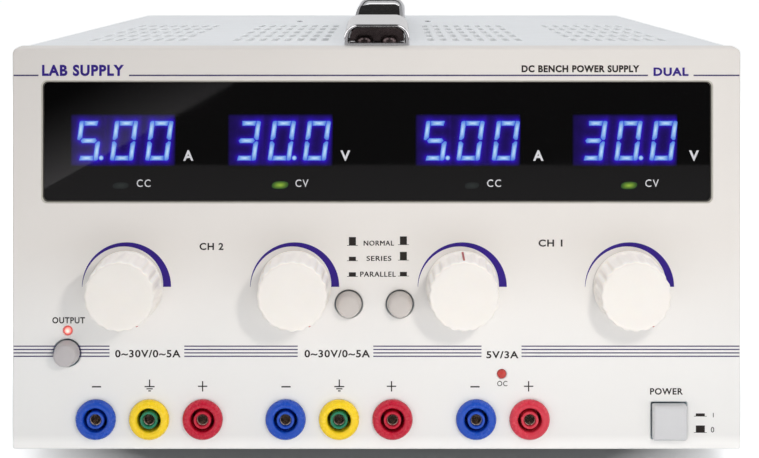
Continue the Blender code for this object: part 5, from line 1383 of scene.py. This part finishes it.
# ---------------------------------------------------------------- stage: floor, light, camera
def stage():
    bm = bmesh.new()
    bmesh.ops.create_grid(bm, x_segments=2, y_segments=2, size=30.0)
    bmesh.ops.translate(bm, verts=bm.verts, vec=(0, 0, -0.00005))
    me = bpy.data.meshes.new("floor")
    bm.to_mesh(me)
    bm.free()
    fl_ = bpy.data.objects.new("floor", me)
    bpy.context.scene.collection.objects.link(fl_)
    m, nt = blank("floor_mat")
    tc = node(nt, "ShaderNodeTexCoord").outputs["Object"]
    n = node(nt, "ShaderNodeTexNoise", {"Vector": tc, "Scale": 3.0, "Detail": 4.0}).outputs[0]
    col = mixc(nt, n, (0.88, 0.88, 0.88, 1), (0.92, 0.92, 0.92, 1))
    p = node(nt, "ShaderNodeBsdfPrincipled", {"Base Color": col, "Roughness": 0.75, "Specular IOR Level": 0.2})
    # away from the object the floor runs out into plain white
    far = node(nt, "ShaderNodeVectorMath", {0: node(nt, "ShaderNodeVectorMath", {0: tc, 1: (1 / 0.13, 1 / 0.155, 0.0)}, operation="MULTIPLY").outputs[0]}, operation="LENGTH").outputs["Value"]
    cam_ray = node(nt, "ShaderNodeLightPath").outputs["Is Camera Ray"]
    add_w = node(nt, "ShaderNodeMath", {0: ramp(nt, far, 1.0, 1.3, 0.03, FLOOR_WHITE), 1: cam_ray}, operation="MULTIPLY").outputs[0]
    e = node(nt, "ShaderNodeEmission", {"Color": (1, 1, 1, 1), "Strength": add_w})
    sh = node(nt, "ShaderNodeAddShader", {0: p.outputs[0], 1: e.outputs[0]})
    node(nt, "ShaderNodeOutputMaterial", {"Surface": sh.outputs[0]})
    me.materials.append(m)

    # cards seen only in reflections: they lay the soft diagonal reflection over the window
    def reflect(px_, py_):
        """Where the ray through a window point lands on the floor after mirroring."""
        w = Vector((px(px_), GLASS_Y, pz(py_)))
        cam = Vector((CAM_X, YF - CAM_D, CAM_Z))
        d = w - cam
        d.y = -d.y
        t = -w.z / d.z
        return w + d * t

    def shine(x, y):
        """Brightness of the reflected surroundings over the window."""
        if y > 166:
            return 0.34 + 0.05 * (y - 166) / 40
        return 0.10

    def wedge(d, y):
        """The same, d pixels to the left of the slanting edge of the lighter patch."""
        k = max(0.0, 1 - d / 150.0)
        low = min(1.0, max(0.0, (y - 80) / 110.0))
        return 0.05 + (0.40 + 0.62 * low) * k ** 1.3

    bm = bmesh.new()
    lay = bm.verts.layers.float.new("bright")
    rows = [70 + 1.0 * k for k in range(146)]
    grid = []
    for y in rows:
        xd = 235 - (y - 83.3) * 192 / 107.3
        line = []
        if y <= 190.6:
            for k in range(41):
                d = 230 * (1 - k / 40) ** 1.5
                line.append((xd - d - 0.5, y, wedge(d, y)))
        else:
            for k in range(41):
                line.append((xd - 230 * (1 - k / 40) ** 1.5 - 0.5, y, shine(0, y)))
        for k in range(14):
            x = xd + 0.5 + (760 - xd) * (k / 13) ** 1.3
            line.append((x, y, shine(x, y)))
        vs = []
        for x, yy, br in line:
            q = reflect(x, yy)
            v = bm.verts.new((q.x, q.y, 0.0008))
            v[lay] = br
            vs.append(v)
        grid.append(vs)
    for r0, r1 in zip(grid, grid[1:]):
        for i in range(len(r0) - 1):
            bm.faces.new((r0[i], r0[i + 1], r1[i + 1], r1[i]))
    me = bpy.data.meshes.new("reflection_card")
    bm.to_mesh(me)
    bm.free()
    ob = bpy.data.objects.new("reflection_card", me)
    bpy.context.scene.collection.objects.link(ob)
    m, nt = blank("reflection_card_mat")
    a = node(nt, "ShaderNodeAttribute", attribute_name="bright").outputs["Fac"]
    e = node(nt, "ShaderNodeEmission", {"Color": (1.0, 0.965, 0.985, 1), "Strength": a})
    node(nt, "ShaderNodeOutputMaterial", {"Surface": e.outputs[0]})
    me.materials.append(m)
    ob.visible_camera = ob.visible_diffuse = ob.visible_shadow = ob.visible_transmission = ob.visible_volume_scatter = False

    w = bpy.data.worlds.new("world")
    bpy.context.scene.world = w
    w.use_nodes = True
    nt = w.node_tree
    nt.nodes.clear()
    tcg = node(nt, "ShaderNodeTexCoord").outputs["Generated"]
    sep = node(nt, "ShaderNodeSeparateXYZ", {0: tcg})
    zz, xx = sep.outputs[2], sep.outputs[0]
    col = mixc(nt, ramp(nt, zz, -0.1, 0.9), (0.99, 0.985, 0.98, 1), (0.95, 0.965, 1.0, 1))
    bg = node(nt, "ShaderNodeBackground", {"Color": col, "Strength": WORLD})
    # mirrored surroundings: a darker room with soft boxes overhead and at the sides
    ax = node(nt, "ShaderNodeMath", {0: xx}, operation="ABSOLUTE").outputs[0]
    over = node(nt, "ShaderNodeMath", {0: ramp(nt, zz, 0.52, 0.62), 1: ramp(nt, ax, 0.16, 0.3)}, operation="MULTIPLY").outputs[0]
    sides = node(nt, "ShaderNodeMath", {0: ramp(nt, ax, 0.62, 0.72), 1: ramp(nt, zz, 0.05, 0.12)}, operation="MULTIPLY").outputs[0]
    bright = node(nt, "ShaderNodeMath", {0: over, 1: sides}, operation="MAXIMUM").outputs[0]
    back = node(nt, "ShaderNodeMath", {0: ramp(nt, sep.outputs[1], 0.2, 0.5), 1: ramp(nt, zz, 0.42, 0.3)}, operation="MULTIPLY").outputs[0]
    back = node(nt, "ShaderNodeMath", {0: back, 1: 0.42}, operation="MULTIPLY").outputs[0]
    bright = node(nt, "ShaderNodeMath", {0: bright, 1: back}, operation="MAXIMUM").outputs[0]
    gl = node(nt, "ShaderNodeBackground", {"Color": (0.995, 0.995, 1, 1), "Strength": ramp(nt, bright, 0.0, 1.0, 0.10, 1.5)})
    lp = node(nt, "ShaderNodeLightPath").outputs["Is Glossy Ray"]
    mx = node(nt, "ShaderNodeMixShader", {0: lp, 1: bg.outputs[0], 2: gl.outputs[0]})
    white = node(nt, "ShaderNodeBackground", {"Color": (1, 1, 1, 1), "Strength": 1.0})
    seen = node(nt, "ShaderNodeLightPath").outputs["Is Camera Ray"]
    mx = node(nt, "ShaderNodeMixShader", {0: seen, 1: mx.outputs[0], 2: white.outputs[0]})
    node(nt, "ShaderNodeOutputWorld", {"Surface": mx.outputs[0]})

    def area(name, loc, target, sx, sy, power, colour=(1, 1, 1)):
        L = bpy.data.lights.new(name, "AREA")
        L.shape = "RECTANGLE"
        L.size, L.size_y = sx, sy
        L.energy = power
        L.color = colour
        ob = bpy.data.objects.new(name, L)
        bpy.context.scene.collection.objects.link(ob)
        ob.location = loc
        ob.rotation_euler = (Vector(target) - Vector(loc)).to_track_quat("-Z", "Y").to_euler()
        ob.visible_camera = False
        return ob

    k = area("key", (132 * MM, YF - 330 * MM, ZB + 212 * MM), (-20 * MM, YF, ZB + 60 * MM), 0.04, 0.04, KEY, (1.0, 0.975, 0.94))
    k.visible_glossy = False
    k = area("overhead", (0.1, 0.1, 1.5), (0, 0, 0), 1.2, 1.2, TOP, (0.97, 0.985, 1.0))
    k.visible_glossy = False
    k = area("floor_fill", (0.02, YF - 0.09, 0.004), (0.02, YF - 0.02, 0.05), 0.44, 0.06, FILL, (1.0, 1.0, 1.0))
    k.visible_glossy = False
    k = area("side", (-0.9, 1.2, 0.6), (0, 0, 0.08), 0.8, 0.8, SIDE, (1, 1, 1))
    k.visible_glossy = False

    cam = bpy.data.cameras.new("camera")
    cam.sensor_width = 36
    cam.lens = 36 * CAM_D / (759 * K * MM)
    cam.clip_start, cam.clip_end = 0.01, 200
    co = bpy.data.objects.new("camera", cam)
    bpy.context.scene.collection.objects.link(co)
    co.location = (CAM_X, YF - CAM_D, CAM_Z)
    co.rotation_euler = (math.pi / 2, 0, 0)
    bpy.context.scene.camera = co
    # the lens is shifted where the camera stands; moved anywhere else it looks along its axis
    stand = bpy.data.objects.new("camera_stand", None)
    stand.location = co.location
    bpy.context.scene.collection.objects.link(stand)
    for channel, amount in (("shift_x", -13.5 / 759), ("shift_y", -275 / 759)):
        setattr(cam, channel, amount)
        curve = cam.driver_add(channel)
        curve.driver.type = "AVERAGE"
        v = curve.driver.variables.new()
        v.name = "away"
        v.type = "LOC_DIFF"
        v.targets[0].id = co
        v.targets[1].id = stand
        while curve.modifiers:
            curve.modifiers.remove(curve.modifiers[0])
        curve.extrapolation = "CONSTANT"
        curve.keyframe_points.add(2)
        for point, (x, y) in zip(curve.keyframe_points, ((0.0, amount), (0.05, 0.0))):
            point.co = (x, y)
            point.interpolation = "LINEAR"
        curve.update()
    bpy.context.scene.view_settings.view_transform = "Standard"
    bpy.context.scene.view_settings.look = "None"


WORLD, KEY, TOP, SIDE, FILL, FLOOR_WHITE = 0.425, 0.385, 8.4, 3.0, 0.124, 0.62
stage()
